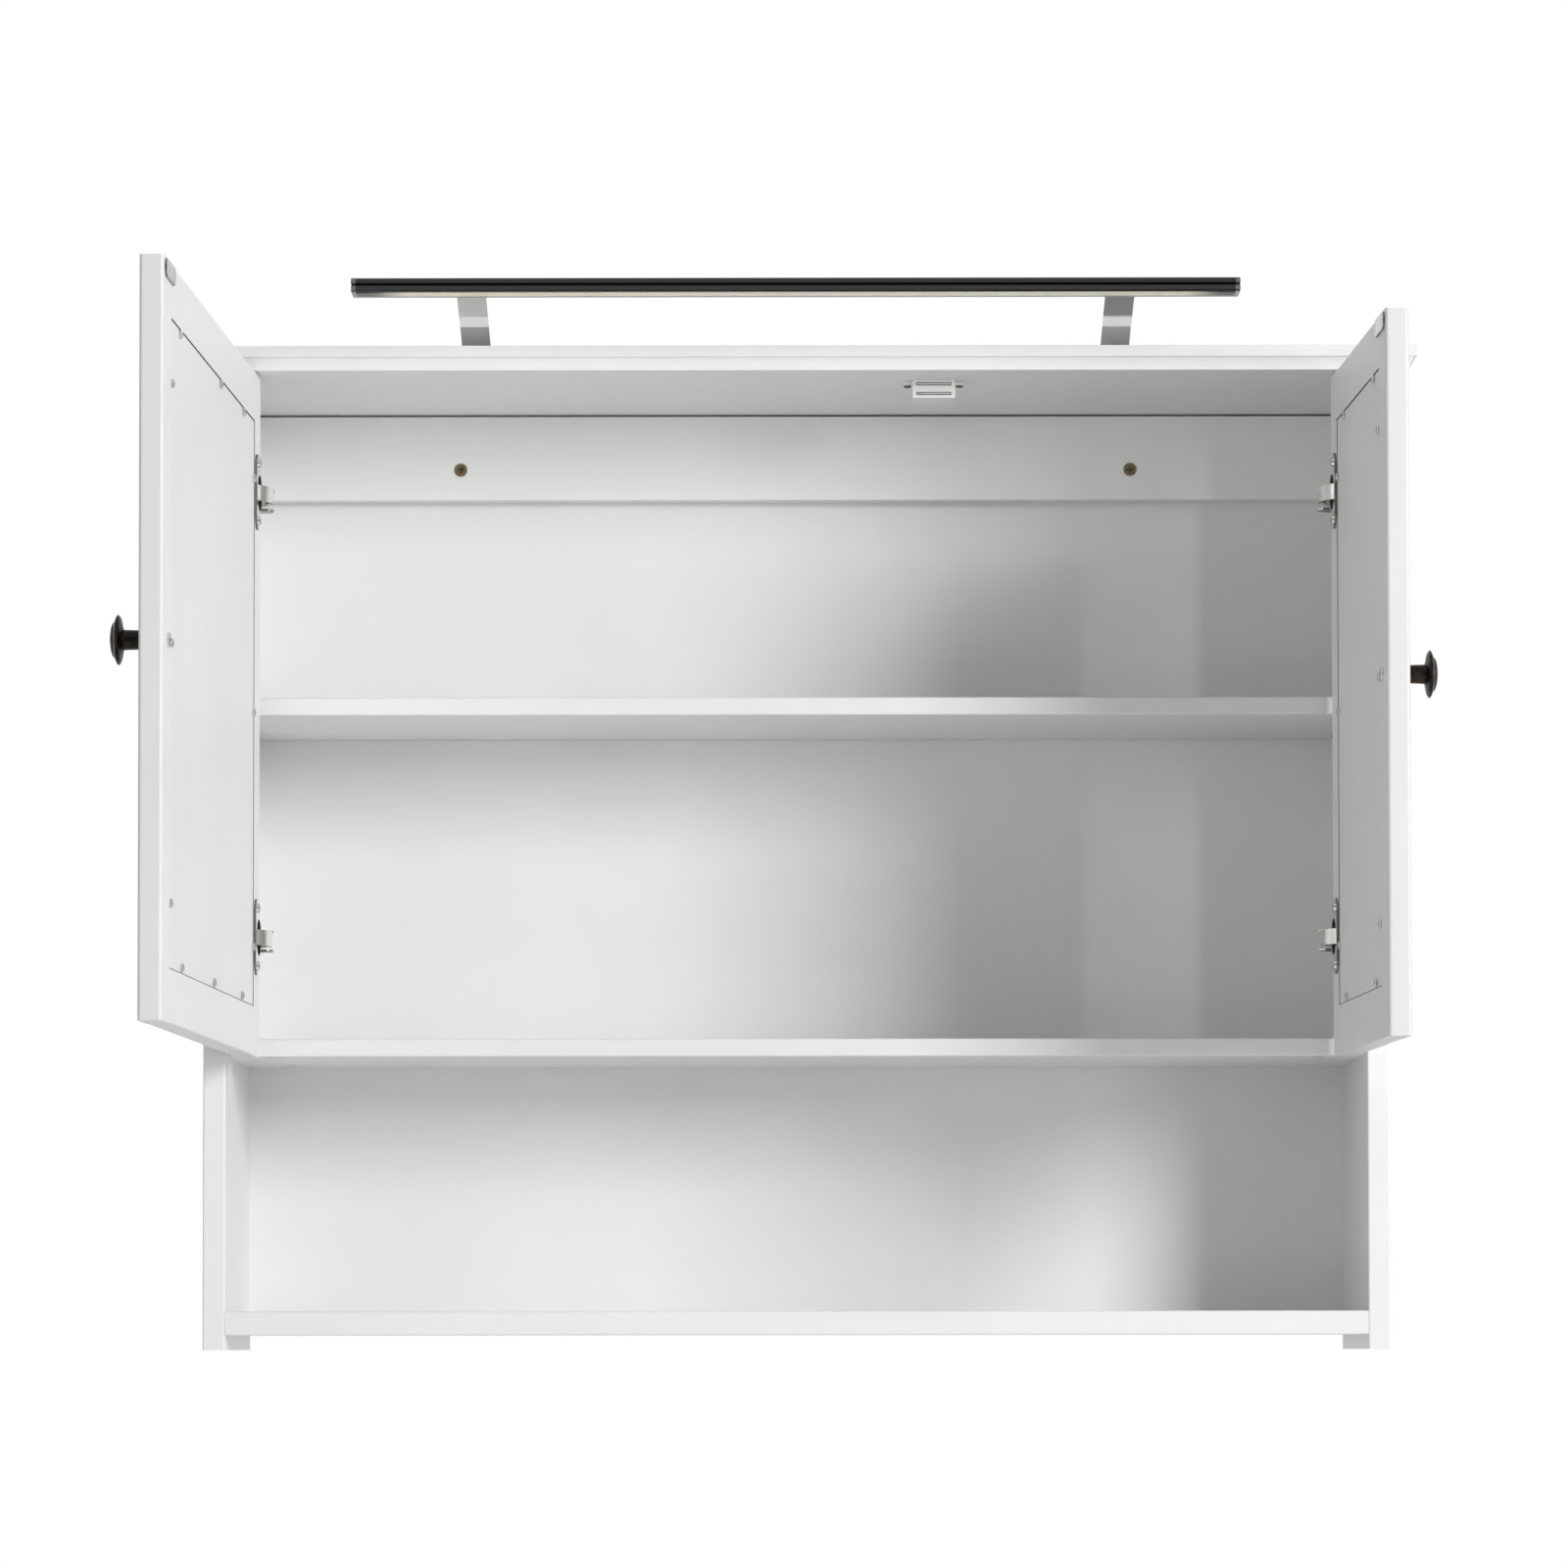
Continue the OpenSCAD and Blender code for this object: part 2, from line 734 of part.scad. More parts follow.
module frame_dowels(side) {
    color("burlywood") door_at(side) frame_dowel_places(side)
        cylinder(d = dowel_d, h = dowel_len, center = true);
}

module rail_blank(side) {
    length = door_width(side) - 2 * stile_w;
    translate([stile_w, 0, 0]) rotate([90, 0, 90]) linear_extrude(height = length)
        rotate([0, 0, 90]) mirror([0, 1]) difference() {
            frame_section(door_rail_w);
            edge_softener(door_t, edge_r);
        }
}

module top_rail(side) {
    white() door_at(side) difference() {
        translate([0, 0, door_h]) mirror([0, 0, 1]) rail_blank(side);
        rail_screws(side) pilot(backing_screw_len);
        frame_dowel_bores(side);
    }
}

module bottom_rail(side) {
    white() door_at(side) difference() {
        rail_blank(side);
        rail_screws(side) pilot(backing_screw_len);
        frame_dowel_bores(side);
    }
}

module glass_sheet(side, ledge, thick, front, fit) {
    side_in = stile_w - ledge + fit;
    end_in = door_rail_w - ledge + fit;
    translate([side_in, front, end_in])
        cube([door_width(side) - 2 * side_in, thick, door_h - 2 * end_in]);
}

module door_mirror(side) {
    color("lightblue") door_at(side) glass_sheet(side, mirror_ledge, mirror_t, lip_t, glass_fit);
}

module door_back(side) {
    white() door_at(side) difference() {
        glass_sheet(side, backing_ledge, backing_t, lip_t + mirror_t, backing_fit);
        all_back_screws(side) pilot(backing_t + 1, 1);
    }
}

module hinge_side_screws() {
    for (step = [-1, 0, 1])
        translate([stile_w - backing_ledge + backing_screw_in, door_t, door_h / 2 + step * screw_step])
            children();
}

module free_side_screws(side) {
    for (step = [-1, 0, 1])
        translate([door_width(side) - stile_w + backing_ledge - backing_screw_in, door_t,
                   door_h / 2 + step * screw_step])
            children();
}

function rail_screw_ends(side) =
    side == LEFT
        ? [left_screw_end, (left_door_w - 2 * (stile_w - backing_ledge)) / 2,
           left_door_w - 2 * (stile_w - backing_ledge) - left_screw_end]
        : [right_screw_end, right_door_w - 2 * (stile_w - backing_ledge) - right_screw_end];

module rail_screw_row(side, z, off) {
    for (i = [0 : len(off) - 1])
        translate([stile_w - backing_ledge + rail_screw_ends(side)[i] + off[i], door_t, z])
            children();
}

module rail_screws(side) {
    low = door_rail_w - backing_ledge + backing_screw_in;
    rail_screw_row(side, door_h - low, side == LEFT ? left_top_off : right_off) children();
    rail_screw_row(side, low, side == LEFT ? left_bottom_off : right_off) children();
}

module all_back_screws(side) {
    hinge_side_screws() children();
    free_side_screws(side) children();
    rail_screws(side) children();
}

module back_screws(side) {
    nickel() door_at(side) all_back_screws(side) rotate([0, 0, 180])
        pan_screw(backing_screw_head_d, screw_head_h, small_shank_d, backing_screw_len - 0.5);
}

// Knobs

module knob_place(side) {
    translate([door_width(side) - knob_inset, 0, door_h / 2]) children();
}

// The head is a low dome with a thin brim, on a straight stem
module knob(side) {
    radius = knob_d / 2;
    stem = knob_stem_d / 2;
    under = knob_out - knob_head_t;
    dome = radius * 0.72;
    color("#2b2724") door_at(side) knob_place(side) rotate([90, 0, 0]) difference() {
        rotate_extrude() polygon(concat(
            [[0, 0], [stem * 0.97, 0], [stem, under * 0.3], [stem * 1.04, under - 0.6],
             [stem + 0.8, under + 0.2], [radius * 0.86, under + 1.6], [radius - 0.5, under + 2.4],
             [radius, under + 3], [radius - 0.4, under + 3.7], [dome + 1.2, under + 4.9]],
            [for (a = [0 : 15 : 90]) [dome * cos(a), under + 5.3 + (knob_head_t - 5.3) * sin(a)]]
        ));
        cylinder(d = knob_screw_d - 0.4 + hole_slack, h = knob_out - 6);
    }
}

module knob_screw(side) {
    nickel() door_at(side) knob_place(side) translate([0, door_t, 0]) rotate([0, 0, 180])
        pan_screw(knob_screw_head_d, knob_screw_head_h, knob_screw_d - 0.4,
                  door_t + knob_out - knob_head_t);
}

// Strike plates for the magnetic catch

module strike_place(side) {
    translate([door_width(side) - strike_end - strike_l / 2, door_t, door_h - strike_top - strike_h / 2])
        children();
}

module strike_screw_places(side) {
    strike_place(side) for (x = [-0.5, 0.5] * strike_screw_step) translate([x, 0, 0]) children();
}

module strike_plate(side) {
    nickel() door_at(side) difference() {
        strike_place(side) translate([-strike_l / 2, 0, -strike_h / 2])
            along_y(strike_t) all_rounded(strike_l, strike_h, strike_corner);
        strike_screw_places(side) rotate([90, 0, 0]) translate([0, 0, -strike_t - 1])
            cylinder(d = small_shank_d + hole_slack, h = strike_t + 2);
        strike_screw_places(side) translate([0, strike_t, 0]) rotate([90, 0, 0])
            cylinder(d = strike_head_d + hole_slack, h = strike_head_h + strike_head_sunk + 0.05);
    }
}

// Flat heads, sunk level with the plate so that the catch meets a plain face
module strike_screws(side) {
    color("gray") door_at(side) strike_screw_places(side) rotate([90, 0, 0]) {
        translate([0, 0, -strike_t + strike_head_sunk]) cylinder(d = strike_head_d, h = strike_head_h);
        translate([0, 0, -strike_t + strike_head_sunk]) cylinder(d = small_shank_d, h = strike_screw_len);
    }
}

// Hinges

module cup_places() {
    for (z = [-0.5, 0.5] * hinge_spacing)
        translate([cup_a, cup_top_y, door_h / 2 + z]) children();
}

module flange_screw_places() {
    for (z = [-1, 1] * flange_screw_step) translate([flange_shift, 0, z]) children();
}

// A strap bent about the door axis, drawn with that axis on the Z axis
module arc_strap(radius, thick, width, from, to) {
    rotate([0, 0, from]) rotate_extrude(angle = to - from)
        translate([radius, -width / 2]) square([thick, width]);
}

// Height of each hinge on the closed door, on the door's own axis
module hinge_axis_places() {
    for (z = [-0.5, 0.5] * hinge_spacing)
        translate([-axis_x, axis_y, door_mid_z + z]) children();
}

// The cup with its flange, and the strap that swings out of it with the door
module hinge_cups(side) {
    pin_r = strap_r + strap_t / 2;
    nickel() {
        door_at(side) cup_places() {
            difference() {
                union() {
                    rotate([90, 0, 0]) cylinder(d = cup_d, h = cup_depth);
                    translate([flange_shift - flange_w / 2, 0, -flange_h / 2])
                        along_y(flange_t) all_rounded(flange_w, flange_h, flange_w / 2 - 0.5);
                    rotate([-90, 0, 0]) cylinder(d = cup_d + 2 * collar_out, h = flange_t);
                }
                rotate([90, 0, 0]) translate([0, 0, -flange_t - 1])
                    cylinder(d = cup_d - 2 * cup_wall, h = flange_t + 1 + cup_depth - cup_wall);
                flange_screw_places() pilot(1, flange_t + 1);
            }
        }
        door_at(side) translate([inner - door_gap, 0, -door_z]) hinge_axis_places() {
            arc_strap(strap_r, strap_t, link_w, strap_from_angle, strap_to_angle);
            // pin across the cup, ending inside its wall
            intersection() {
                translate([pin_r * cos(cup_pin_angle), pin_r * sin(cup_pin_angle), -cup_d / 2])
                    cylinder(d = cup_pin_d, h = cup_d);
                translate([cup_a - axis_in + door_gap, axis_front + door_t, 0])
                    rotate([90, 0, 0]) cylinder(d = cup_d - cup_wall, h = cup_depth);
            }
        }
    }
}

module cup_screws(side) {
    nickel() door_at(side) cup_places() translate([0, flange_t, 0]) flange_screw_places()
        rotate([0, 0, 180]) pan_screw(small_head_d, small_head_h, small_shank_d, cup_screw_len);
}

// The middle strap turns about the door axis by a fixed share of the door's angle
module hinge_links(side) {
    nickel() cabinet() hand(side) hinge_axis_places()
        rotate([0, 0, -open_angle * link_ratio])
            arc_strap(link_r, link_t, link_w, link_from_angle, link_to_angle);
}

// Plan of one cheek of the hinge arm, from the nose back along the side panel
module cheek_outline() {
    polygon([
        [-inner + nose_in, nose_y], [-inner + nose_out, nose_y],
        [-inner + nose_tip, nose_y + nose_tip_back], [-inner + heel_out, nose_y + heel_back],
        [-inner + waist_out, nose_y + waist_back], [-inner + arm_out, arm_back],
        [-inner + plate_t, arm_back], [-inner + plate_t, plate_from - arm_clear],
        [-inner + nose_in, nose_y + nose_side_back]
    ]);
}

module hinge_arms(side) {
    rivet_r = strap_r + strap_t + rivet_gap + rivet_d / 2;
    nickel() cabinet() hand(side) for (z = [-0.5, 0.5] * hinge_spacing)
        translate([0, 0, door_mid_z + z]) difference() {
            union() {
                for (low = [-arm_h / 2, arm_h / 2 - cheek_t])
                    translate([0, 0, low]) linear_extrude(height = cheek_t) cheek_outline();
                // web over the mounting plate
                translate([-inner + arm_out - arm_web_t, nose_y + waist_back + 2, -arm_h / 2])
                    cube([arm_web_t, arm_back - nose_y - waist_back - 2, arm_h]);
                // rivet across the nose, clear of the straps
                translate([-axis_x, axis_y, -arm_h / 2]) rotate([0, 0, rivet_angle])
                    translate([rivet_r, 0, 0]) cylinder(d = rivet_d, h = arm_h);
            }
            translate([-inner, arm_screw_y, 0]) pilot_x(2 * arm_out, 0, arm_screw_d + 1.4);
        }
}

module plate_screw_places() {
    for (z = [-0.5, 0.5] * hinge_spacing, step = [-0.5, 0.5] * plate_hole_step)
        translate([-inner, plate_screw_y, door_mid_z + z + step]) children();
}

module hinge_plates() {
    color("darkgray") cabinet() for (side = SIDES) hand(side) difference() {
        for (z = [-0.5, 0.5] * hinge_spacing) translate([-inner, 0, door_mid_z + z]) {
            translate([0, plate_from, -arm_h / 2]) cube([plate_t, plate_to - plate_from, arm_h]);
            translate([0, plate_from + plate_foot_from, -plate_hole_step / 2 - plate_foot_reach])
                cube([plate_foot_t, plate_foot_d, plate_hole_step + 2 * plate_foot_reach]);
        }
        plate_screw_places() pilot_x(plate_t + 1, 1);
        arm_screw_places() pilot_x(plate_t + 1, 1, arm_screw_d + hole_slack);
    }
}

module arm_screw_places() {
    for (z = [-0.5, 0.5] * hinge_spacing)
        translate([-inner, arm_screw_y, door_mid_z + z]) children();
}

module hinge_plate_screws() {
    nickel() cabinet() for (side = SIDES) hand(side) {
        plate_screw_places() translate([plate_foot_t, 0, 0]) rotate([0, 0, 90])
            pan_screw(small_head_d, small_head_h, small_shank_d, plate_screw_len);
        arm_screw_places() translate([arm_out, 0, 0]) rotate([0, 0, 90])
            pan_screw(small_head_d, small_head_h, arm_screw_d, arm_out - hole_slack);
    }
}

// Magnetic catch under the crown board

module catch_place() {
    translate([meet_x + catch_shift, catch_y, body_h]) children();
}

module catch_screw_places() {
    catch_place() for (side = SIDES)
        translate([side * (catch_w / 2 + (catch_ear_w - catch_w) / 4), ear_back, 0]) children();
}

function pole_z(index) = -catch_h + pole_low + index * pole_step;

module catch_body() {
    white() cabinet() difference() {
        catch_place() {
            translate([-catch_w / 2, 0, -catch_h]) cube([catch_w, catch_d, catch_h]);
            translate([-catch_ear_w / 2, ear_back - ear_d / 2, -ear_t]) cube([catch_ear_w, ear_d, ear_t]);
        }
        // the pocket that holds the magnet between its two poles
        catch_place() translate([-pole_l / 2 - 0.1, magnet_wall, pole_z(0) - pole_t / 2 - 0.1])
            cube([pole_l + 0.2, pole_d - magnet_wall + 0.1, pole_step + pole_t + 0.2]);
        // the two slots that the poles look out of
        catch_place() for (index = [0, 1])
            translate([-pole_l / 2 - 0.1, -1, pole_z(index) - pole_t / 2 - 0.1])
                cube([pole_l + 0.2, magnet_wall + 2, pole_t + 0.2]);
        catch_screw_places() rotate([180, 0, 0]) translate([0, 0, -1])
            cylinder(d = small_shank_d + hole_slack, h = ear_t + 2);
    }
}

module catch_poles() {
    nickel() cabinet() catch_place() for (index = [0, 1])
        translate([-pole_l / 2, -pole_out, pole_z(index) - pole_t / 2])
            cube([pole_l, pole_d + pole_out, pole_t]);
}

module catch_magnet() {
    color("dimgray") cabinet() catch_place()
        translate([-pole_l / 2, magnet_wall + 0.1, pole_z(0) + pole_t / 2])
            cube([pole_l, pole_d - magnet_wall - 0.1, pole_step - pole_t]);
}

module catch_screws() {
    nickel() cabinet() catch_screw_places() translate([0, 0, -ear_t]) rotate([90, 0, 0])
        pan_screw(catch_screw_head_d, catch_screw_head_h, small_shank_d, catch_screw_len);
}

// Lamp on two strip arms

// Section of the lamp's profile, nose to the front, open below for the light strip
module lamp_section(inset = 0) {
    radius = lamp_h / 2;
    nose = radius - inset;
    translate([lamp_front_y + radius, lamp_z + radius]) circle(r = nose);
    translate([lamp_front_y + radius, lamp_z + inset])
        square([lamp_d - radius - inset, lamp_h - 2 * inset]);
}

module diffuser_slot(margin = 0) {
    translate([lamp_front_y + diffuser_front - margin, lamp_z - 1])
        square([diffuser_d + 2 * margin, lamp_wall + 1 + EPS]);
}

module lamp_profile() {
    color("#303236") cabinet() difference() {
        translate([-lamp_l / 2, 0, 0]) along_x(lamp_l) difference() {
            lamp_section();
            lamp_section(lamp_wall);
            diffuser_slot();
        }
        lamp_back_screw_places() pilot(lamp_wall + 1, 1);
        translate([bush_x, -lamp_front, lamp_z + lamp_h / 2]) rotate([90, 0, 0])
            translate([0, 0, -1]) cylinder(d = bush_d - 1.6, h = lamp_wall + 2);
    }
}

module lamp_diffuser() {
    color("ivory") cabinet() translate([-lamp_l / 2, 0, 0]) along_x(lamp_l) {
        translate([lamp_front_y + diffuser_front + diffuser_fit, lamp_z - diffuser_out])
            square([diffuser_d - 2 * diffuser_fit, lamp_wall + diffuser_out + EPS]);
        translate([lamp_front_y + diffuser_front - diffuser_edge, lamp_z + lamp_wall])
            square([diffuser_d + 2 * diffuser_edge, diffuser_t]);
    }
}

module lamp_led_strip() {
    color("lightyellow") cabinet()
        translate([-lamp_l / 2 + 4, lamp_front_y + diffuser_front + (diffuser_d - led_w) / 2,
                   lamp_z + lamp_h - lamp_wall - led_t])
            cube([lamp_l - 8, led_w, led_t]);
}

// The caps close the profile's ends; a screw notch shows on their outer faces
module lamp_end_caps() {
    color("gainsboro") cabinet() for (side = SIDES) hand(side) difference() {
        translate([-lamp_l / 2 - end_cap_t, 0, 0]) along_x(end_cap_t) lamp_section();
        translate([-lamp_l / 2 - end_cap_t / 2 - 1, lamp_front_y - 1, lamp_z + lamp_h * 0.45])
            rotate([-90, 0, 0]) cylinder(d = cap_screw_d - 0.6, h = 5);
    }
}

// Path of a lamp arm in Y and Z: foot, slope and the tab behind the lamp
function arm_path() = [
    [foot_from_y + foot_l, crown_top],
    [foot_from_y, crown_top],
    [-lamp_front, lamp_z + 0.4],
    [-lamp_front, lamp_z + lamp_h - 0.6]
];

function unit(v) = v / norm(v);
function side_of(a, b) = let (d = unit(b - a)) [d[1], -d[0]];

// The corner of a strip's other face where two stretches of its path meet
function mitre(a, b, c, thick) =
    let (n = side_of(a, b), m = side_of(b, c), s = unit(n + m)) b + s * thick / (s * n);

function strip_points(path, thick) = concat(
    path,
    [for (i = [len(path) - 1 : -1 : 0])
        i == 0 ? path[0] + side_of(path[0], path[1]) * thick
        : i == len(path) - 1 ? path[i] + side_of(path[i - 1], path[i]) * thick
        : mitre(path[i - 1], path[i], path[i + 1], thick)]
);

module lamp_arms() {
    nickel() cabinet() difference() {
        for (side = SIDES) translate([side * arm_spacing / 2 - arm_w / 2, 0, 0])
            along_x(arm_w) polygon(strip_points(arm_path(), arm_t));
        lamp_foot_screw_places() translate([0, 0, -1])
            cylinder(d = small_shank_d + hole_slack, h = arm_t + 2);
        lamp_back_screw_places() pilot(1, arm_t + 1);
    }
}

module lamp_foot_screw_places() {
    last = foot_from_y + foot_l - foot_screw_from_end;
    for (side = SIDES, y = [last, last - arm_screw_step])
        translate([side * arm_spacing / 2, y, crown_top]) children();
}

module lamp_back_screw_places() {
    for (side = SIDES, x = [-0.5, 0.5] * back_screw_spread)
        translate([side * arm_spacing / 2 + x, -lamp_front, lamp_z + lamp_h / 2]) children();
}

module lamp_screws() {
    nickel() cabinet() {
        lamp_foot_screw_places() translate([0, 0, arm_t]) rotate([-90, 0, 0])
            pan_screw(small_head_d, small_head_h, small_shank_d, foot_screw_len);
        lamp_back_screw_places() translate([0, arm_t, 0]) rotate([0, 0, 180])
            pan_screw(lamp_screw_head_d, screw_head_h, small_shank_d, lamp_screw_len);
    }
}

// Rubber bush in the back of the lamp, where the supply lead would enter
module lamp_cable_bush() {
    color("#222222") cabinet() translate([bush_x, -lamp_front, lamp_z + lamp_h / 2])
        rotate([-90, 0, 0]) difference() {
            union() {
                translate([0, 0, -lamp_wall]) cylinder(d = bush_d - 1.8, h = lamp_wall + 1);
                cylinder(d = bush_d, h = 3);
            }
            translate([0, 0, -lamp_wall - 1]) cylinder(d = bush_bore - 1, h = lamp_wall + 5);
        }
}

side_panel(LEFT);  // side_panel_left
side_panel(RIGHT);  // side_panel_right
crown_board();
bottom_board();
lower_shelf();
middle_shelf();
shelf_pins();
back_panel();
back_panel_screws();
back_rail();
wall_screws();
carcass_dowels();
cam_bolts();
cam_locks();
hinge_stile(LEFT);  // left_hinge_stile
free_stile(LEFT);  // left_free_stile
top_rail(LEFT);  // left_top_rail
bottom_rail(LEFT);  // left_bottom_rail
door_mirror(LEFT);  // left_mirror
door_back(LEFT);  // left_door_back
back_screws(LEFT);  // left_back_screws
knob(LEFT);  // left_knob
knob_screw(LEFT);  // left_knob_screw
strike_plate(LEFT);  // left_strike_plate
strike_screws(LEFT);  // left_strike_screws
hinge_cups(LEFT);  // left_hinge_cups
cup_screws(LEFT);  // left_cup_screws
hinge_stile(RIGHT);  // right_hinge_stile
free_stile(RIGHT);  // right_free_stile
top_rail(RIGHT);  // right_top_rail
bottom_rail(RIGHT);  // right_bottom_rail
door_mirror(RIGHT);  // right_mirror
door_back(RIGHT);  // right_door_back
back_screws(RIGHT);  // right_back_screws
knob(RIGHT);  // right_knob
knob_screw(RIGHT);  // right_knob_screw
strike_plate(RIGHT);  // right_strike_plate
strike_screws(RIGHT);  // right_strike_screws
hinge_cups(RIGHT);  // right_hinge_cups
cup_screws(RIGHT);  // right_cup_screws
frame_dowels(LEFT);  // left_frame_dowels
frame_dowels(RIGHT);  // right_frame_dowels
hinge_links(LEFT);  // left_hinge_links
hinge_links(RIGHT);  // right_hinge_links
hinge_arms(LEFT);  // left_hinge_arms
hinge_arms(RIGHT);  // right_hinge_arms
hinge_plates();
hinge_plate_screws();
catch_body();
catch_magnet();
catch_poles();
catch_screws();
lamp_profile();
lamp_diffuser();
lamp_led_strip();
lamp_end_caps();
lamp_arms();
lamp_screws();
lamp_cable_bush();
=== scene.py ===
import json
import math

import bmesh
import bpy
from mathutils import Matrix, Vector

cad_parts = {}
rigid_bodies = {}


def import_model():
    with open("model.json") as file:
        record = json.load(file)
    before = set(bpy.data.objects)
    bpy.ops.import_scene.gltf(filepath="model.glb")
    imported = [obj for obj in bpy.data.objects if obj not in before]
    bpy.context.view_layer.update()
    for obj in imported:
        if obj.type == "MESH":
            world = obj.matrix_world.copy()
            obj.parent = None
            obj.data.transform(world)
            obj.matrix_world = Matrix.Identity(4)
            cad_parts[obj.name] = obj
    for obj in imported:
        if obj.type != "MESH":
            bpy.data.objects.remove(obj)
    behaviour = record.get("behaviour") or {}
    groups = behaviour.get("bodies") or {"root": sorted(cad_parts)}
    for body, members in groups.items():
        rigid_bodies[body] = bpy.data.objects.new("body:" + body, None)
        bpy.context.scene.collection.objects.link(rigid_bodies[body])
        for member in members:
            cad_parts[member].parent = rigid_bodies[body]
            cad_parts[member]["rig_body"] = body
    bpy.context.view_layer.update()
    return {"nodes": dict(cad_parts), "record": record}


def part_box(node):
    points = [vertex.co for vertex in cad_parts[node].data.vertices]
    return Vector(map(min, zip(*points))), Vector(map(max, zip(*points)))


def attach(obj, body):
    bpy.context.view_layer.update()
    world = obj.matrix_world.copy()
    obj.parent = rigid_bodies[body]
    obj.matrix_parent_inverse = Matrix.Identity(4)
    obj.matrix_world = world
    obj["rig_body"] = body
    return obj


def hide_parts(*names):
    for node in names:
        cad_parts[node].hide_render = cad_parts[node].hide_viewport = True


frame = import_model()

# Everything is in metres, in the frame of the wall screws: X to the right, Y into the wall, Z up.
MM = 0.001
SIDES = ("left", "right")

# The photograph's view, as fitted to the cabinet's own edges
PHOTO_SIZE = 1600
FOCAL_PIXELS = 6282.36
HORIZON_CENTRE = 1125.74
CAMERA_PLACE = Vector((-0.00505, -4.34189, -0.61709))
CAMERA_YAW = 0.0008
CAMERA_PITCH = 0.0393
CAMERA_ROLL = -0.0011
SENSOR = 36.0

# The room
FLOOR_Z = -3.0
FLOOR_SIZE = 30.0
FLOOR_COLOUR = (0.8, 0.8, 0.8)
FLOOR_ROUGHNESS = 0.6
FLOOR_GLOW = (0.5, 0.5, 0.5)
AMBIENT = 0.215
AMBIENT_TINT = (0.97, 1.0, 0.97)

# The card that stands for the unlit end of the room. It is darkest from SHADE_CORE of the
# way in from its rim.
SHADE_PLACE = Vector((0, -5.6, 0.5))
SHADE_WIDTH = 9.0
SHADE_HEIGHT = 7.0
SHADE_DARKEST = 0.03
SHADE_CORE = 0.75

# The soft boxes: name, azimuth, elevation, width, height, power, and whether gloss shows it
LIGHT_AIM = Vector((0, -0.1, -0.3))
LIGHT_DISTANCE = 6.0
LIGHTS = (
    ("key", 37.5, 13, 1.6, 1.9, 214, True),
    ("low_key", 38, -4, 1.3, 0.9, 30, True),
    ("right_fill", 66, 10, 1.2, 1.2, 30, True),
    ("left_fill", -45, 8, 2.0, 2.0, 27, True),
    ("front_fill", -8, 0, 2.4, 1.6, 9, False),
    ("low_fill", -20, -13, 2.4, 0.5, 8, False),
    ("back_key", 180, 50, 1.2, 3.0, 230, False),
)


def camera_at_photo_view():
    """The camera that took the photograph, with its lens moved up on the sensor."""
    forward_level = Vector((-math.sin(CAMERA_YAW), math.cos(CAMERA_YAW), 0))
    right = Vector((math.cos(CAMERA_YAW), math.sin(CAMERA_YAW), 0))
    up_axis = Vector((0, 0, 1))
    forward = math.cos(CAMERA_PITCH) * forward_level + math.sin(CAMERA_PITCH) * up_axis
    up = math.cos(CAMERA_PITCH) * up_axis - math.sin(CAMERA_PITCH) * forward_level
    rolled_right = math.cos(CAMERA_ROLL) * right + math.sin(CAMERA_ROLL) * up
    rolled_up = math.cos(CAMERA_ROLL) * up - math.sin(CAMERA_ROLL) * right
    data = bpy.data.cameras.new("photo_camera")
    data.sensor_width = SENSOR
    data.lens = FOCAL_PIXELS / PHOTO_SIZE * SENSOR
    data.shift_y = (HORIZON_CENTRE - PHOTO_SIZE / 2) / PHOTO_SIZE
    camera = bpy.data.objects.new("photo_camera", data)
    turn = Matrix((rolled_right, rolled_up, -forward)).transposed()
    camera.matrix_world = Matrix.Translation(CAMERA_PLACE) @ turn.to_4x4()
    bpy.context.scene.collection.objects.link(camera)
    bpy.context.scene.camera = camera


def white_studio_world():
    """Soft light from all round; the camera, gloss and glass see plain white."""
    world = bpy.data.worlds.new("studio")
    world.use_nodes = True
    tree = world.node_tree
    tree.nodes.clear()
    output = tree.nodes.new("ShaderNodeOutputWorld")
    lighting = tree.nodes.new("ShaderNodeBackground")
    lighting.inputs["Color"].default_value = (*AMBIENT_TINT, 1)
    lighting.inputs["Strength"].default_value = AMBIENT
    backdrop = tree.nodes.new("ShaderNodeBackground")
    backdrop.inputs["Color"].default_value = (1, 1, 1, 1)
    backdrop.inputs["Strength"].default_value = 1.0
    chosen = tree.nodes.new("ShaderNodeMixShader")
    tree.links.new(seen_directly(tree), chosen.inputs["Fac"])
    tree.links.new(lighting.outputs["Background"], chosen.inputs[1])
    tree.links.new(backdrop.outputs["Background"], chosen.inputs[2])
    tree.links.new(chosen.outputs["Shader"], output.inputs["Surface"])
    bpy.context.scene.world = world


def math_node(tree, operation, *values, clamp=False):
    """One step of arithmetic on sockets and plain numbers, as the socket of its result."""
    node = tree.nodes.new("ShaderNodeMath")
    node.operation = operation
    node.use_clamp = clamp
    for socket, value in zip(node.inputs, values):
        if isinstance(value, bpy.types.NodeSocket):
            tree.links.new(value, socket)
        else:
            socket.default_value = value
    return node.outputs["Value"]


def map_range(tree, value, source, target=(0, 1), smooth=False):
    """The value brought from the source range to the target range, and kept within it."""
    node = tree.nodes.new("ShaderNodeMapRange")
    if smooth:
        node.interpolation_type = "SMOOTHSTEP"
    limits = zip(("From Min", "From Max", "To Min", "To Max"), (*source, *target))
    for name, limit in limits:
        node.inputs[name].default_value = limit
    tree.links.new(value, node.inputs["Value"])
    return node.outputs["Result"]


def stretched_place(tree, stretch):
    """A point's place in the object's own metres, stretched along each axis."""
    place = tree.nodes.new("ShaderNodeTexCoord")
    mapping = tree.nodes.new("ShaderNodeMapping")
    mapping.inputs["Scale"].default_value = stretch
    tree.links.new(place.outputs["Object"], mapping.inputs["Vector"])
    return mapping.outputs["Vector"]


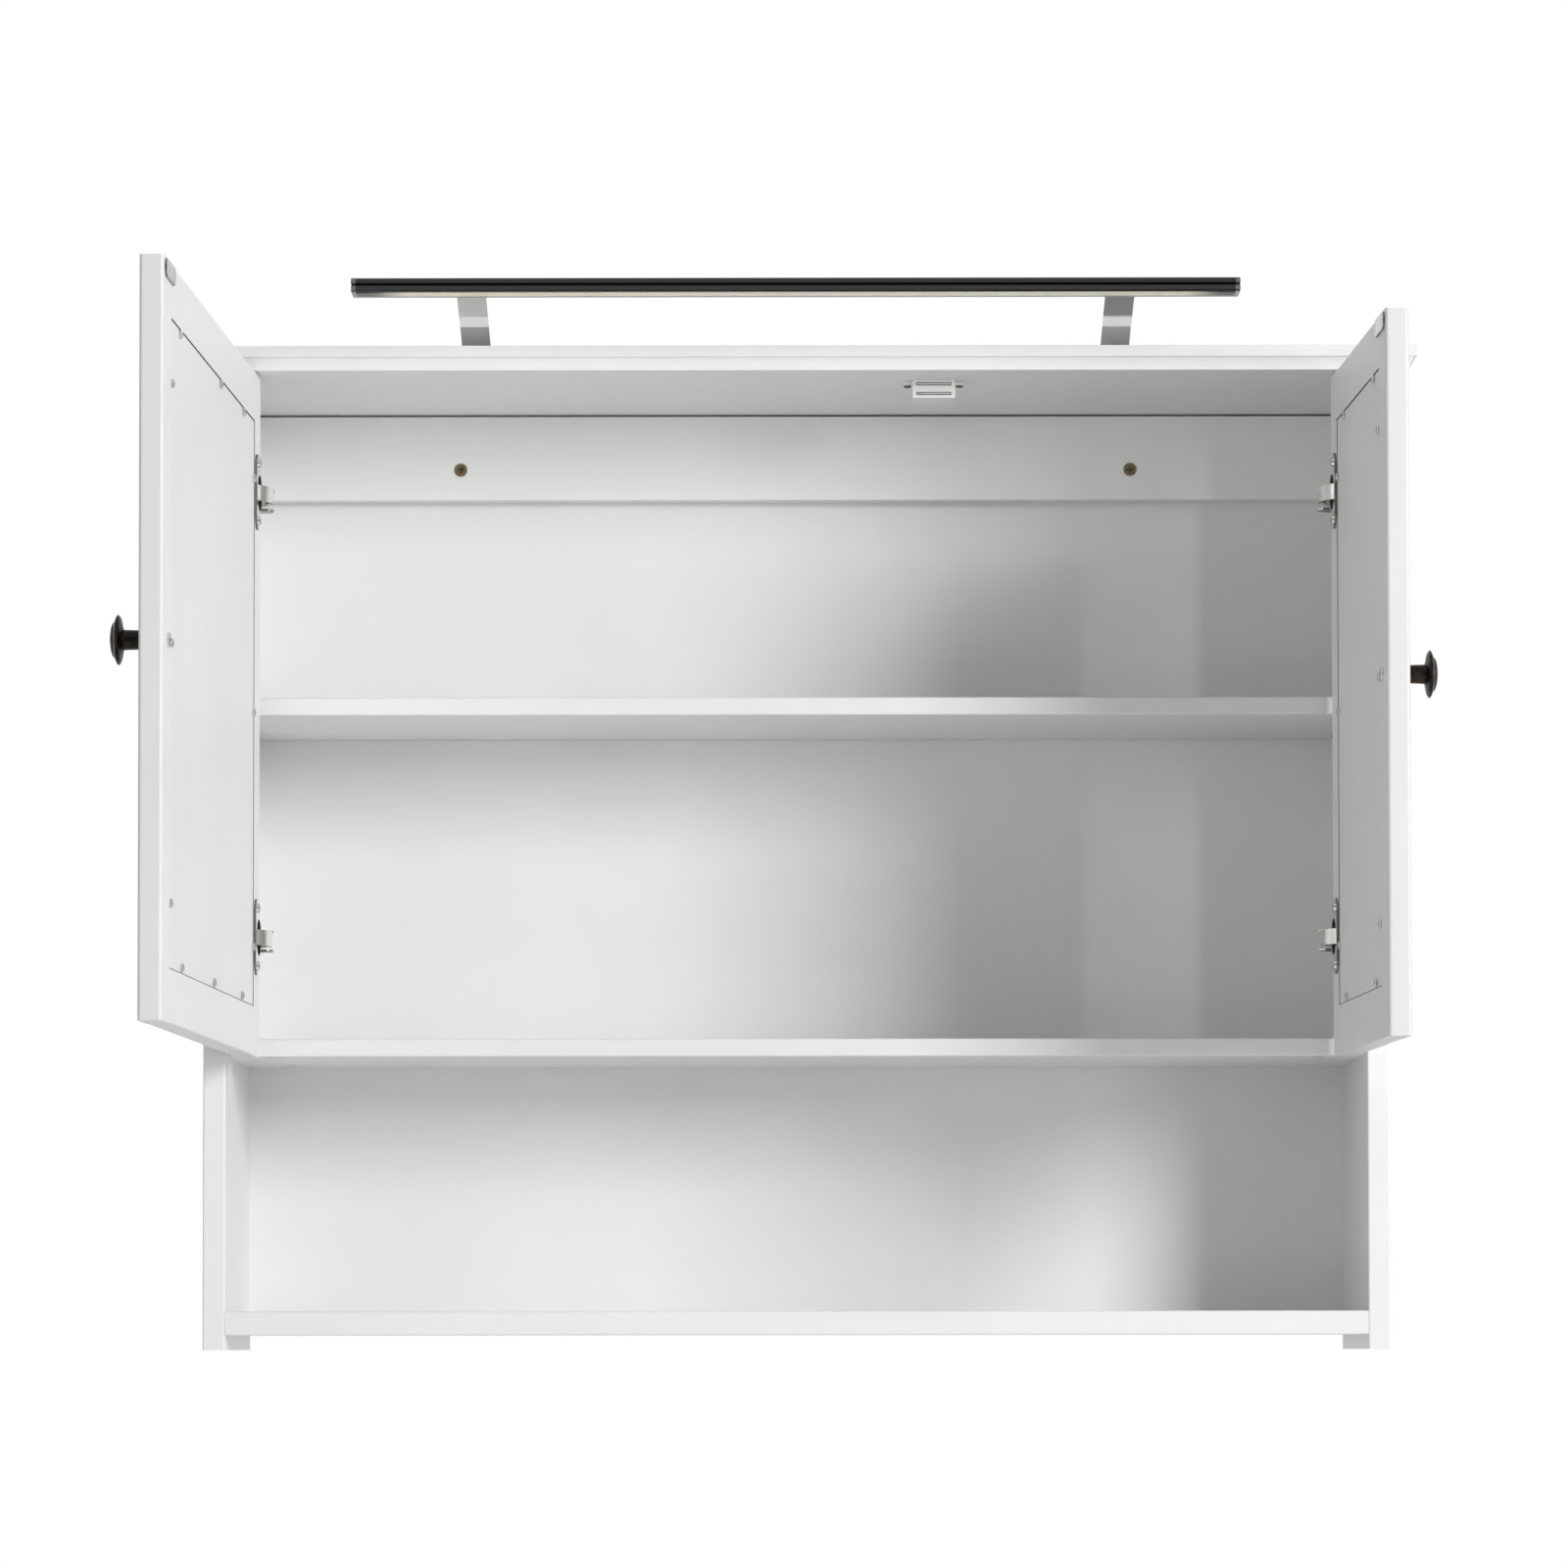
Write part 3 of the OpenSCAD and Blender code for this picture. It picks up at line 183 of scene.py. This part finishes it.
def seen_directly(tree):
    """1 for the camera's rays and for those that gloss and glass send on, else 0."""
    path = tree.nodes.new("ShaderNodeLightPath")
    total = path.outputs["Is Camera Ray"]
    for ray in ("Is Glossy Ray", "Is Transmission Ray"):
        total = math_node(tree, "ADD", total, path.outputs[ray], clamp=True)
    return total


def soft_light(name, azimuth, elevation, width, height, power, in_gloss):
    """A soft box aimed at the middle of the cabinet; azimuth 0 is in front, 90 at the right."""
    aside = math.radians(azimuth)
    lift = math.radians(elevation)
    place = LIGHT_AIM + LIGHT_DISTANCE * Vector(
        (math.sin(aside) * math.cos(lift), -math.cos(aside) * math.cos(lift), math.sin(lift)))
    data = bpy.data.lights.new(name, "AREA")
    data.shape = "RECTANGLE"
    data.size = width
    data.size_y = height
    data.energy = power
    light = bpy.data.objects.new(name, data)
    light.location = place
    light.visible_glossy = in_gloss
    light.rotation_euler = (LIGHT_AIM - place).to_track_quat("-Z", "Y").to_euler()
    bpy.context.scene.collection.objects.link(light)


def flat_card(name, width, height, material):
    """A card in its own X and Y, part of the room and not of the cabinet."""
    mesh = bpy.data.meshes.new(name)
    x, y = width / 2, height / 2
    mesh.from_pydata([(-x, -y, 0), (x, -y, 0), (x, y, 0), (-x, y, 0)], [], [(0, 1, 2, 3)])
    mesh.materials.append(material)
    card = bpy.data.objects.new(name, mesh)
    bpy.context.scene.collection.objects.link(card)
    return card


def pale_floor():
    """A floor nearly as pale as the backdrop, which keeps the object's shadow. What it
    adds to the view of the camera, gloss and glass lights nothing."""
    material = new_material("floor", FLOOR_COLOUR, FLOOR_ROUGHNESS)
    shader = shader_of(material)
    tree = material.node_tree
    shader.inputs["Emission Color"].default_value = (*FLOOR_GLOW, 1)
    tree.links.new(seen_directly(tree), shader.inputs["Emission Strength"])
    floor = flat_card("floor", FLOOR_SIZE, FLOOR_SIZE, material)
    floor.location.z = FLOOR_Z


def dark_end_of_room():
    """The unlit end of the studio behind the camera, which only gloss shows. It fades
    into the white round it."""
    material = bpy.data.materials.new("dark_end")
    material.use_nodes = True
    tree = material.node_tree
    tree.nodes.clear()
    output = tree.nodes.new("ShaderNodeOutputMaterial")
    glow = tree.nodes.new("ShaderNodeEmission")
    fade = tree.nodes.new("ShaderNodeTexGradient")
    fade.gradient_type = "SPHERICAL"
    tree.links.new(stretched_place(tree, (2 / SHADE_WIDTH, 2 / SHADE_HEIGHT, 1)),
                   fade.inputs["Vector"])
    level = map_range(tree, fade.outputs["Fac"], (0, SHADE_CORE), (1, SHADE_DARKEST),
                      smooth=True)
    tree.links.new(level, glow.inputs["Strength"])
    tree.links.new(glow.outputs["Emission"], output.inputs["Surface"])
    card = flat_card("dark_end", SHADE_WIDTH, SHADE_HEIGHT, material)
    card.location = SHADE_PLACE
    card.rotation_euler = (math.radians(90), 0, 0)
    card.visible_camera = False
    card.visible_diffuse = False
    card.visible_shadow = False
    card.visible_transmission = False


# Materials

# How deep the bumps are that only shade a surface
FINE_BUMP = 0.01 * MM
LACQUER_BUMP = 0.06 * MM
WOOD_BUMP = 0.05 * MM
CASTING_BUMP = 0.22 * MM

# The levels of a noise over which the colour and the roughness change
COLOUR_RANGE = (0.35, 0.65)
ROUGHNESS_RANGE = (0.3, 0.7)

# The darker patches of a finish, as a share of its colour
LACQUER_PATCHES = 0.975
METAL_PATCHES = 0.92
PLASTIC_PATCHES = 0.95

# The least roughness that a metal varies down to
SMOOTHEST = 0.02

# Stretches that draw a noise out into lines along one axis
LONG_X = (14, 900, 900)
LONG_Z = (900, 900, 14)
LAMP_LINES = (30, 1200, 1200)
WOOD_FIBRES = (260, 1500, 1500)
WOOD_PORES = (300, 2200, 2200)


def new_material(name, colour, roughness, metallic=0.0):
    material = bpy.data.materials.new(name)
    material.use_nodes = True
    shader = material.node_tree.nodes["Principled BSDF"]
    shader.inputs["Base Color"].default_value = (*colour, 1)
    shader.inputs["Roughness"].default_value = roughness
    shader.inputs["Metallic"].default_value = metallic
    return material


def shader_of(material):
    return material.node_tree.nodes["Principled BSDF"]


def noise(material, scale=1, detail=3, softness=0.5, stretch=(1, 1, 1)):
    """Noise over the object's own metres; scale, or else stretch, counts its grains in a
    metre."""
    tree = material.node_tree
    grains = tree.nodes.new("ShaderNodeTexNoise")
    grains.inputs["Scale"].default_value = scale
    grains.inputs["Detail"].default_value = detail
    grains.inputs["Roughness"].default_value = softness
    tree.links.new(stretched_place(tree, stretch), grains.inputs["Vector"])
    return grains.outputs["Fac"]


def vary_colour(material, factor, dark, light):
    tree = material.node_tree
    ramp = tree.nodes.new("ShaderNodeValToRGB")
    for stop, level, colour in zip(ramp.color_ramp.elements, COLOUR_RANGE, (dark, light)):
        stop.position = level
        stop.color = (*colour, 1)
    tree.links.new(factor, ramp.inputs["Fac"])
    tree.links.new(ramp.outputs["Color"], shader_of(material).inputs["Base Color"])


def vary_roughness(material, factor, least, most):
    tree = material.node_tree
    tree.links.new(map_range(tree, factor, ROUGHNESS_RANGE, (least, most)),
                   shader_of(material).inputs["Roughness"])


def add_bump(material, height, depth, strength=1.0):
    """Bumps that only shade the surface, over any bump there already is."""
    tree = material.node_tree
    bump = tree.nodes.new("ShaderNodeBump")
    bump.inputs["Distance"].default_value = depth
    bump.inputs["Strength"].default_value = strength
    tree.links.new(height, bump.inputs["Height"])
    normal = shader_of(material).inputs["Normal"]
    if normal.is_linked:
        tree.links.new(normal.links[0].from_socket, bump.inputs["Normal"])
    tree.links.new(bump.outputs["Normal"], normal)


def shade(colour, factor):
    return tuple(value * factor for value in colour)


def white_lacquer(name, colour, roughness, grain):
    """Satin white lacquer over board: a fine grain one way, and a slow change of tone."""
    material = new_material(name, colour, roughness)
    vary_colour(material, noise(material, scale=9, detail=4),
                shade(colour, LACQUER_PATCHES), colour)
    vary_roughness(material, noise(material, scale=70, detail=5),
                   roughness - 0.05, roughness + 0.07)
    add_bump(material, noise(material, detail=4, stretch=grain), LACQUER_BUMP, strength=0.5)
    add_bump(material, noise(material, scale=1400, detail=2), FINE_BUMP, strength=0.5)
    return material


def metal(name, colour, roughness, spread=0.08, scratches=None):
    """Bare metal, a little cloudy; scratches is the stretch of its fine lines."""
    material = new_material(name, colour, roughness, metallic=1.0)
    vary_colour(material, noise(material, scale=900, detail=4),
                shade(colour, METAL_PATCHES), colour)
    vary_roughness(material, noise(material, scale=300),
                   max(SMOOTHEST, roughness - spread / 2), roughness + spread)
    if scratches:
        add_bump(material, noise(material, stretch=scratches), FINE_BUMP, strength=0.35)
    return material


def beech(name):
    """Dowel wood, with its fibres and pores along X."""
    material = new_material(name, (0.5, 0.31, 0.15), 0.6)
    vary_colour(material, noise(material, detail=5, stretch=WOOD_FIBRES),
                (0.42, 0.25, 0.11), (0.58, 0.38, 0.2))
    add_bump(material, noise(material, stretch=WOOD_PORES), WOOD_BUMP)
    return material


def plastic(name, colour, roughness, texture=2200):
    """Plastic, rubber or bare board, with a texture of that many grains in a metre."""
    material = new_material(name, colour, roughness)
    vary_colour(material, noise(material, scale=120, detail=4),
                shade(colour, PLASTIC_PATCHES), colour)
    vary_roughness(material, noise(material, scale=500), roughness - 0.04, roughness + 0.08)
    add_bump(material, noise(material, scale=texture, detail=2), FINE_BUMP, strength=0.5)
    return material


def aged_bronze(name):
    """Dark bronzed casting: pitted a little, browner where hands have worn it."""
    material = new_material(name, (0.017, 0.0135, 0.011), 0.38, metallic=0.92)
    vary_colour(material, noise(material, scale=170, detail=6, softness=0.62),
                (0.008, 0.007, 0.0065), (0.036, 0.026, 0.018))
    vary_roughness(material, noise(material, scale=420, detail=4), 0.3, 0.5)
    add_bump(material, noise(material, scale=520, detail=4), CASTING_BUMP, strength=0.5)
    return material


def silvered_glass(name):
    """A mirror, its silvering all but even."""
    material = new_material(name, (0.9, 0.925, 0.92), 0.012, metallic=1.0)
    vary_roughness(material, noise(material, scale=14, detail=4), 0.008, 0.022)
    vary_colour(material, noise(material, scale=3, detail=2),
                (0.885, 0.91, 0.905), (0.905, 0.93, 0.925))
    return material


# The lamp's cover: how far in from its ends it stays dark, its colour there painted dark as
# painted shade, and from where it is fully lit
DARK_END = 8 * MM
LIT_FROM = 36 * MM
COVER_END_PAINTED_SHADE = (0.1, 0.085, 0.075)
COVER_LIGHT = (1.0, 0.93, 0.72)
COVER_GLOW = 0.18


def opal_light(name):
    """The lamp's cover, faintly alight but for the ends that no diode reaches, where its colour
    is painted dark as painted shade.
    """
    material = new_material(name, (0.6, 0.58, 0.5), 0.4)
    shader = shader_of(material)
    shader.inputs["Emission Color"].default_value = (*COVER_LIGHT, 1)
    vary_colour(material, noise(material, scale=60), (0.56, 0.54, 0.46), (0.64, 0.62, 0.53))
    opal = shader.inputs["Base Color"].links[0].from_socket
    low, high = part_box("lamp_diffuser")
    half = (high[0] - low[0]) / 2
    tree = material.node_tree
    place = tree.nodes.new("ShaderNodeTexCoord")
    axes = tree.nodes.new("ShaderNodeSeparateXYZ")
    tree.links.new(place.outputs["Object"], axes.inputs["Vector"])
    off_centre = math_node(tree, "SUBTRACT", axes.outputs["X"], (low[0] + high[0]) / 2)
    lit = map_range(tree, math_node(tree, "ABSOLUTE", off_centre),
                    (half - DARK_END, half - LIT_FROM), smooth=True)
    colour = tree.nodes.new("ShaderNodeMix")
    colour.data_type = "RGBA"
    colour.inputs["A"].default_value = (*COVER_END_PAINTED_SHADE, 1)
    tree.links.new(lit, colour.inputs["Factor"])
    tree.links.new(opal, colour.inputs["B"])
    tree.links.new(colour.outputs["Result"], shader.inputs["Base Color"])
    tree.links.new(math_node(tree, "MULTIPLY", lit, COVER_GLOW),
                   shader.inputs["Emission Strength"])
    return material


WHITE = (0.83, 0.835, 0.825)

# How each material is made: the function, then what it takes after the name
FINISHES = {
    "carcass_white": (white_lacquer, WHITE, 0.42, LONG_Z),
    "board_white": (white_lacquer, WHITE, 0.42, LONG_X),
    # A lighter copy of the white for the fixing rail: painted light
    "rail_white": (white_lacquer, (0.885, 0.89, 0.88), 0.42, LONG_X),
    "door_white": (white_lacquer, (0.835, 0.835, 0.83), 0.46, LONG_Z),
    # A darker copy of the door's white for the frame's edges: painted shade
    "door_edge_white": (white_lacquer, (0.74, 0.74, 0.735), 0.46, LONG_Z),
    "back_white": (white_lacquer, (0.82, 0.825, 0.815), 0.48, LONG_Z),
    "dowel_wood": (beech,),
    "mirror_glass": (silvered_glass,),
    "nickel_steel": (metal, (0.86, 0.84, 0.81), 0.13, 0.06),
    # Darker steel on sheet edges, in cups, in screw recesses and on pole rims: painted shade
    "cut_steel": (metal, (0.2, 0.19, 0.175), 0.3),
    "strike_steel": (metal, (0.5, 0.485, 0.475), 0.24),
    "zinc_screws": (metal, (0.7, 0.7, 0.69), 0.18),
    # Darker steel in the wall screws' recesses and rims: painted shade
    "dark_steel": (metal, (0.2, 0.19, 0.17), 0.36),
    "yellow_zinc": (metal, (0.42, 0.33, 0.16), 0.3),
    "cast_zinc": (metal, (0.42, 0.42, 0.42), 0.5, 0.15),
    "knob_bronze": (aged_bronze,),
    "catch_plastic": (plastic, (0.86, 0.86, 0.84), 0.4),
    "pole_steel": (metal, (0.8, 0.8, 0.79), 0.4),
    # Bare board for the rebate walls and the panel's edges, dark also as painted shade in the gap
    "bare_board": (plastic, (0.17, 0.145, 0.115), 0.85, 1800),
    "magnet_ferrite": (plastic, (0.03, 0.03, 0.033), 0.7, 900),
    "lamp_chrome": (metal, (0.8, 0.8, 0.8), 0.07, 0.04, LAMP_LINES),
    # This chrome's near-black colour is a painted dark reflection of the unlit room
    "lamp_dark_chrome": (metal, (0.04, 0.04, 0.041), 0.09, 0.05, LAMP_LINES),
    "lamp_caps": (metal, (0.15, 0.15, 0.155), 0.2),
    "lamp_light": (opal_light,),
    "led_strip": (plastic, (0.85, 0.78, 0.45), 0.5),
    "bush_rubber": (plastic, (0.02, 0.02, 0.02), 0.75, 1500),
}
MATERIALS = {name: make(name, *values) for name, (make, *values) in FINISHES.items()}
SLOT_OF = {part["node"]: part["material_slot"] for part in frame["record"]["subparts"]}

# Boards whose grain runs across the cabinet
LEVEL_BOARDS = ("crown_board", "bottom_board", "lower_shelf", "middle_shelf")

# Pieces that look a little different from the others of their slot
OWN_FINISH = {
    # The fixing rail's lighter white is painted light
    "back_rail": "rail_white",
    "left_strike_plate": "strike_steel",
    "right_strike_plate": "strike_steel",
    "catch_poles": "pole_steel",
}


def finish_of(node):
    """The material that a node of the CAD, or the piece that stands for it, is made of."""
    if node in OWN_FINISH:
        return MATERIALS[OWN_FINISH[node]]
    return MATERIALS["board_white" if node in LEVEL_BOARDS else SLOT_OF[node]]


def paint_cad_nodes():
    for node, piece in frame["nodes"].items():
        piece.data.materials.clear()
        piece.data.materials.append(finish_of(node))


# Pieces made from the CAD's own shapes

# What counts as one point, as flat, as sharp and as near when a shape is worked on
ONE_POINT = 0.001 * MM
FLAT = math.radians(0.3)
SHARP_TO_ROUND = math.radians(40)
SHARP_TO_SEE = math.radians(35)
NEAR = 0.05 * MM
LONG_EDGE = 6 * MM
SHORT_EDGE = 1 * MM

# How an edge is rounded unless said otherwise
ROUND_STEPS = 2
ROUND_PROFILE = 0.5

# Cosines between a face's normal and a direction: above the first the face looks that way,
# below the second it stands steep to it, and the third parts the two halves
FACING = 0.95
STEEP = 0.3
HALFWAY = 0.5


def stands_for(piece, node):
    """The piece takes the place and the body of a CAD node, which is hidden."""
    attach(piece, frame["nodes"][node]["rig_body"])
    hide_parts(node)


def shape_of(node):
    """The node's shape without the lines its flat faces were cut along."""
    mesh = bmesh.new()
    mesh.from_mesh(frame["nodes"][node].data)
    bmesh.ops.remove_doubles(mesh, verts=mesh.verts, dist=ONE_POINT)
    bmesh.ops.dissolve_limit(mesh, angle_limit=FLAT, verts=mesh.verts, edges=mesh.edges)
    return mesh


def bevel(mesh, edges, width, steps=ROUND_STEPS):
    bmesh.ops.bevel(mesh, geom=edges, offset=width, segments=steps, profile=ROUND_PROFILE,
                    affect="EDGES", clamp_overlap=True)


def round_edges(mesh, width, least=LONG_EDGE, steps=ROUND_STEPS):
    """Rounds the sharp outer edges that are longer than the least length."""
    sharp = [edge for edge in mesh.edges
             if edge.is_manifold and edge.is_convex and edge.calc_length() > least
             and edge.calc_face_angle() > SHARP_TO_ROUND]
    bevel(mesh, sharp, width, steps)


def finished(mesh, node, ending, *more_materials):
    """Makes the worked shape the piece that stands for the node. Its faces take the node's
    own finish at material index 0, and the others after it."""
    data = bpy.data.meshes.new(f"{node}_{ending}")
    mesh.to_mesh(data)
    mesh.free()
    for material in (finish_of(node), *more_materials):
        data.materials.append(material)
    data.shade_smooth()
    data.set_sharp_from_angle(angle=SHARP_TO_SEE)
    piece = bpy.data.objects.new(f"{node}_{ending}", data)
    bpy.context.scene.collection.objects.link(piece)
    weigh = piece.modifiers.new("even_shade", "WEIGHTED_NORMAL")
    weigh.keep_sharp = True
    stands_for(piece, node)


def eased(node, width, least=LONG_EDGE):
    """The node's shape with its long sharp outer edges rounded over."""
    mesh = shape_of(node)
    round_edges(mesh, width, least)
    finished(mesh, node, "eased")


# The crown's lip and bevel are the CAD's. Right under the lip the cove steps in by a share
# of the bevel; the levels, and the part that is hollowed, count from the lip down.
LIP_HEIGHT = 7.5 * MM
BEVEL_IN = 5 * MM
COVE_STEP = 0.2
COVE_CURVE = 2.0
COVE_LEVELS = (0.02, 0.1, 0.2, 0.32, 0.45, 0.6, 0.78, 0.99)
HOLLOWED = (0.01, 0.995)
CROWN_EASE = 0.5 * MM


def coved_crown():
    """The crown board, its bevel hollowed into the cove that the photograph shows."""
    node = "crown_board"
    low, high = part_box(node)
    lip = high[2] - LIP_HEIGHT
    drop = lip - low[2]
    mesh = shape_of(node)
    for level in COVE_LEVELS:
        bmesh.ops.bisect_plane(mesh, geom=mesh.verts[:] + mesh.edges[:] + mesh.faces[:],
                               plane_co=(0, 0, lip - level * drop), plane_no=(0, 0, 1))
    for vert in mesh.verts:
        level = (lip - vert.co.z) / drop
        if not HOLLOWED[0] < level < HOLLOWED[1]:
            continue
        straight = BEVEL_IN * level
        curve = 1 - (1 - level) ** COVE_CURVE
        hollow = BEVEL_IN * (COVE_STEP + (1 - COVE_STEP) * curve) - straight
        if abs(vert.co.y - (low[1] + straight)) < NEAR:
            vert.co.y += hollow
        if abs(abs(vert.co.x) - (high[0] - straight)) < NEAR:
            vert.co.x -= math.copysign(hollow, vert.co.x)
    round_edges(mesh, CROWN_EASE)
    finished(mesh, node, "coved")


def farthest(verts, direction):
    return max(vert.co.dot(direction) for vert in verts)


def door_inside(side):
    """Which way the door's inner face looks, and how far out that face lies."""
    stile = frame["nodes"][f"{side}_hinge_stile"].data
    across = max(stile.polygons, key=lambda face: face.area).normal.copy()
    if across.x * (1 if side == "left" else -1) < 0:
        across.negate()
    return across, farthest(stile.vertices, across)


# How far edges are rounded
BOARD_EASE = 0.6 * MM
RAIL_EASE = 0.4 * MM
FRAME_EASE = 0.4 * MM
BACK_EASE = 0.3 * MM
MIRROR_EASE = 0.5 * MM
STEEL_EASE = 0.25 * MM
STRIKE_EASE = 0.2 * MM
CATCH_EASE = 0.5 * MM
POLE_EASE = 0.45 * MM

# How far out from the door's inner face a stamped sheet ends: a hinge's flange, and a
# strike plate
FLANGE = 1.7 * MM
STRIKE = 4 * MM


def pressed_steel(node, width, side, sheet):
    """A stamped piece: bright faces, and darker steel painted as painted shade on the steep
    faces within the flange and cup, and on the faces beyond it that look up or down.
    """
    across, inner_face = door_inside(side)
    mesh = shape_of(node)
    round_edges(mesh, width, SHORT_EDGE)
    for face in mesh.faces:
        out = face.calc_center_median().dot(across) - inner_face
        edge_of_sheet = out < sheet and abs(face.normal.dot(across)) < HALFWAY
        edge_of_strap = out >= sheet and abs(face.normal.z) > HALFWAY
        face.material_index = 1 if edge_of_sheet or edge_of_strap else 0
    finished(mesh, node, "pressed", MATERIALS["cut_steel"])


# The rebate in a door's frame: where its walls lie below the inner face, and the least
# cosine between a wall's normal and the way to the panel's middle
REBATE = (0.5 * MM, 3.6 * MM)
TO_PANEL = 0.05


def edged_frame(node, side):
    """A piece of a door's frame: its edges in a darker copy of its white, which is painted
    shade, and bare board, dark also as painted shade, where the panel lies in its rebate."""
    across, inner_face = door_inside(side)
    low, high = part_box(f"{side}_door_back")
    middle = (Vector(low) + Vector(high)) / 2
    mesh = shape_of(node)
    round_edges(mesh, FRAME_EASE)
    for face in mesh.faces:
        centre = face.calc_center_median()
        depth = inner_face - centre.dot(across)
        facing = face.normal.dot(across)
        in_rebate = (REBATE[0] < depth < REBATE[1] and abs(facing) < STEEP
                     and face.normal.dot((middle - centre).normalized()) > TO_PANEL)
        face.material_index = 2 if in_rebate else 1 if facing < FACING else 0
    finished(mesh, node, "edged", MATERIALS["door_edge_white"], MATERIALS["bare_board"])


RAIL_JOINT = 0.9 * MM
RAIL_TOP = 0.1 * MM      # what lies this near the rail's highest point is its top


def lowered_rail():
    """The fixing rail, with the dark joint that shows between it and the crown board."""
    _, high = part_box("back_rail")
    mesh = shape_of("back_rail")
    for vert in mesh.verts:
        if vert.co.z > high[2] - RAIL_TOP:
            vert.co.z -= RAIL_JOINT
    round_edges(mesh, RAIL_EASE)
    finished(mesh, "back_rail", "eased")


BACK_SUNK = 0.4 * MM


def sunk_back(side):
    """The panel behind the mirror, a little below the frame round it; its edges are bare board,
    dark also as painted shade in the gap.
    """
    node = f"{side}_door_back"
    across, _ = door_inside(side)
    mesh = shape_of(node)
    outmost = farthest(mesh.verts, across)
    for vert in mesh.verts:
        if vert.co.dot(across) > outmost - NEAR:
            vert.co -= across * BACK_SUNK
    round_edges(mesh, BACK_EASE)
    for face in mesh.faces:
        face.material_index = 1 if abs(face.normal.dot(across)) < STEEP else 0
    finished(mesh, node, "sunk", MATERIALS["bare_board"])


# Screws of a door: how sharp the rim of a head is, how steep and how deep its recess
HEAD_RIM = math.radians(60)
HEAD_STEEP = 0.6
HEAD_DEPTH = 1.6 * MM
DOME_STEPS = 4


def domed(node, side, dome):
    """Screws with the rims of their heads rounded into low domes, and painted shade in darker
    steel in the recesses of their heads.
    """
    across, _ = door_inside(side)
    mesh = shape_of(node)
    outmost = farthest(mesh.verts, across)
    rims = [edge for edge in mesh.edges if edge.is_manifold and edge.is_convex
            and edge.calc_face_angle() > HEAD_RIM
            and all(vert.co.dot(across) > outmost - NEAR for vert in edge.verts)]
    bevel(mesh, rims, dome, DOME_STEPS)
    for face in mesh.faces:
        steep = abs(face.normal.dot(across)) < HEAD_STEEP
        hollow = steep and any(edge.is_manifold and not edge.is_convex for edge in face.edges)
        in_head = outmost - face.calc_center_median().dot(across) < HEAD_DEPTH
        face.material_index = 1 if hollow and in_head else 0
    finished(mesh, node, "domed", MATERIALS["cut_steel"])


# The wall screws' heads: the rim that is rounded, how near to the face and to the rim's
# circle its edges lie, and the parts painted dark as painted shade
WALL_RIM = 0.6 * MM
WALL_RIM_SHARP = math.radians(20)
WALL_RIM_NEAR = (0.02 * MM, 0.3 * MM)
DARK_DEPTH = 3 * MM
DARK_RECESS = 2.9 * MM
DARK_RIM = 1 * MM


def recessed_wall_screws():
    """The two wall screws, with painted shade in darker steel in the cross recess and round the
    countersunk rim.
    """
    node = "wall_screws"
    low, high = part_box(node)
    face_y = low[1]
    head_radius = (high[2] - low[2]) / 2
    centre_x = high[0] - head_radius

    def off_axis(point):
        return math.hypot(abs(point.x) - centre_x, point.z)

    mesh = shape_of(node)
    rims = [edge for edge in mesh.edges if edge.is_manifold
            and edge.calc_face_angle() > WALL_RIM_SHARP
            and all(vert.co.y < face_y + WALL_RIM_NEAR[0]
                    and off_axis(vert.co) > head_radius - WALL_RIM_NEAR[1]
                    for vert in edge.verts)]
    bevel(mesh, rims, WALL_RIM)
    for face in mesh.faces:
        centre = face.calc_center_median()
        radius = off_axis(centre)
        in_recess_or_rim = radius < DARK_RECESS or radius > head_radius - DARK_RIM
        dark = NEAR < centre.y - face_y < DARK_DEPTH and in_recess_or_rim
        face.material_index = 1 if dark else 0
    finished(mesh, node, "recessed", MATERIALS["dark_steel"])


def rimmed_poles():
    """The catch's two pole strips: satin steel on their flats, and painted shade in darker
    steel round the rims.
    """
    node = "catch_poles"
    mesh = shape_of(node)
    round_edges(mesh, POLE_EASE, SHORT_EDGE, steps=1)
    for face in mesh.faces:
        flat = max(abs(value) for value in face.normal) > FACING
        face.material_index = 0 if flat else 1
    finished(mesh, node, "rimmed", MATERIALS["cut_steel"])


# The pieces that are dressed alike, and how far the rims of screw heads are domed
PLAIN_BOARDS = ("bottom_board", "lower_shelf", "middle_shelf", "side_panel_left",
                "side_panel_right")
FRAME_PIECES = ("hinge_stile", "free_stile", "top_rail", "bottom_rail")
HINGE_PIECES = ("hinge_cups", "hinge_links", "hinge_arms")
DOMES = {"back_screws": 0.7 * MM, "cup_screws": 0.7 * MM, "knob_screw": 0.8 * MM}


def dress_pieces():
    coved_crown()
    lowered_rail()
    for node in PLAIN_BOARDS:
        eased(node, BOARD_EASE)
    for side in SIDES:
        for piece in FRAME_PIECES:
            edged_frame(f"{side}_{piece}", side)
        sunk_back(side)
        eased(f"{side}_mirror", MIRROR_EASE)
        for piece in HINGE_PIECES:
            pressed_steel(f"{side}_{piece}", STEEL_EASE, side, FLANGE)
        pressed_steel(f"{side}_strike_plate", STRIKE_EASE, side, STRIKE)
        for piece, dome in DOMES.items():
            domed(f"{side}_{piece}", side, dome)
    eased("hinge_plates", STEEL_EASE, least=SHORT_EDGE)
    eased("catch_body", CATCH_EASE, least=SHORT_EDGE)
    rimmed_poles()
    recessed_wall_screws()


camera_at_photo_view()
white_studio_world()
dark_end_of_room()
pale_floor()
for light in LIGHTS:
    soft_light(*light)
paint_cad_nodes()
dress_pieces()

bpy.context.scene.view_settings.view_transform = "Standard"
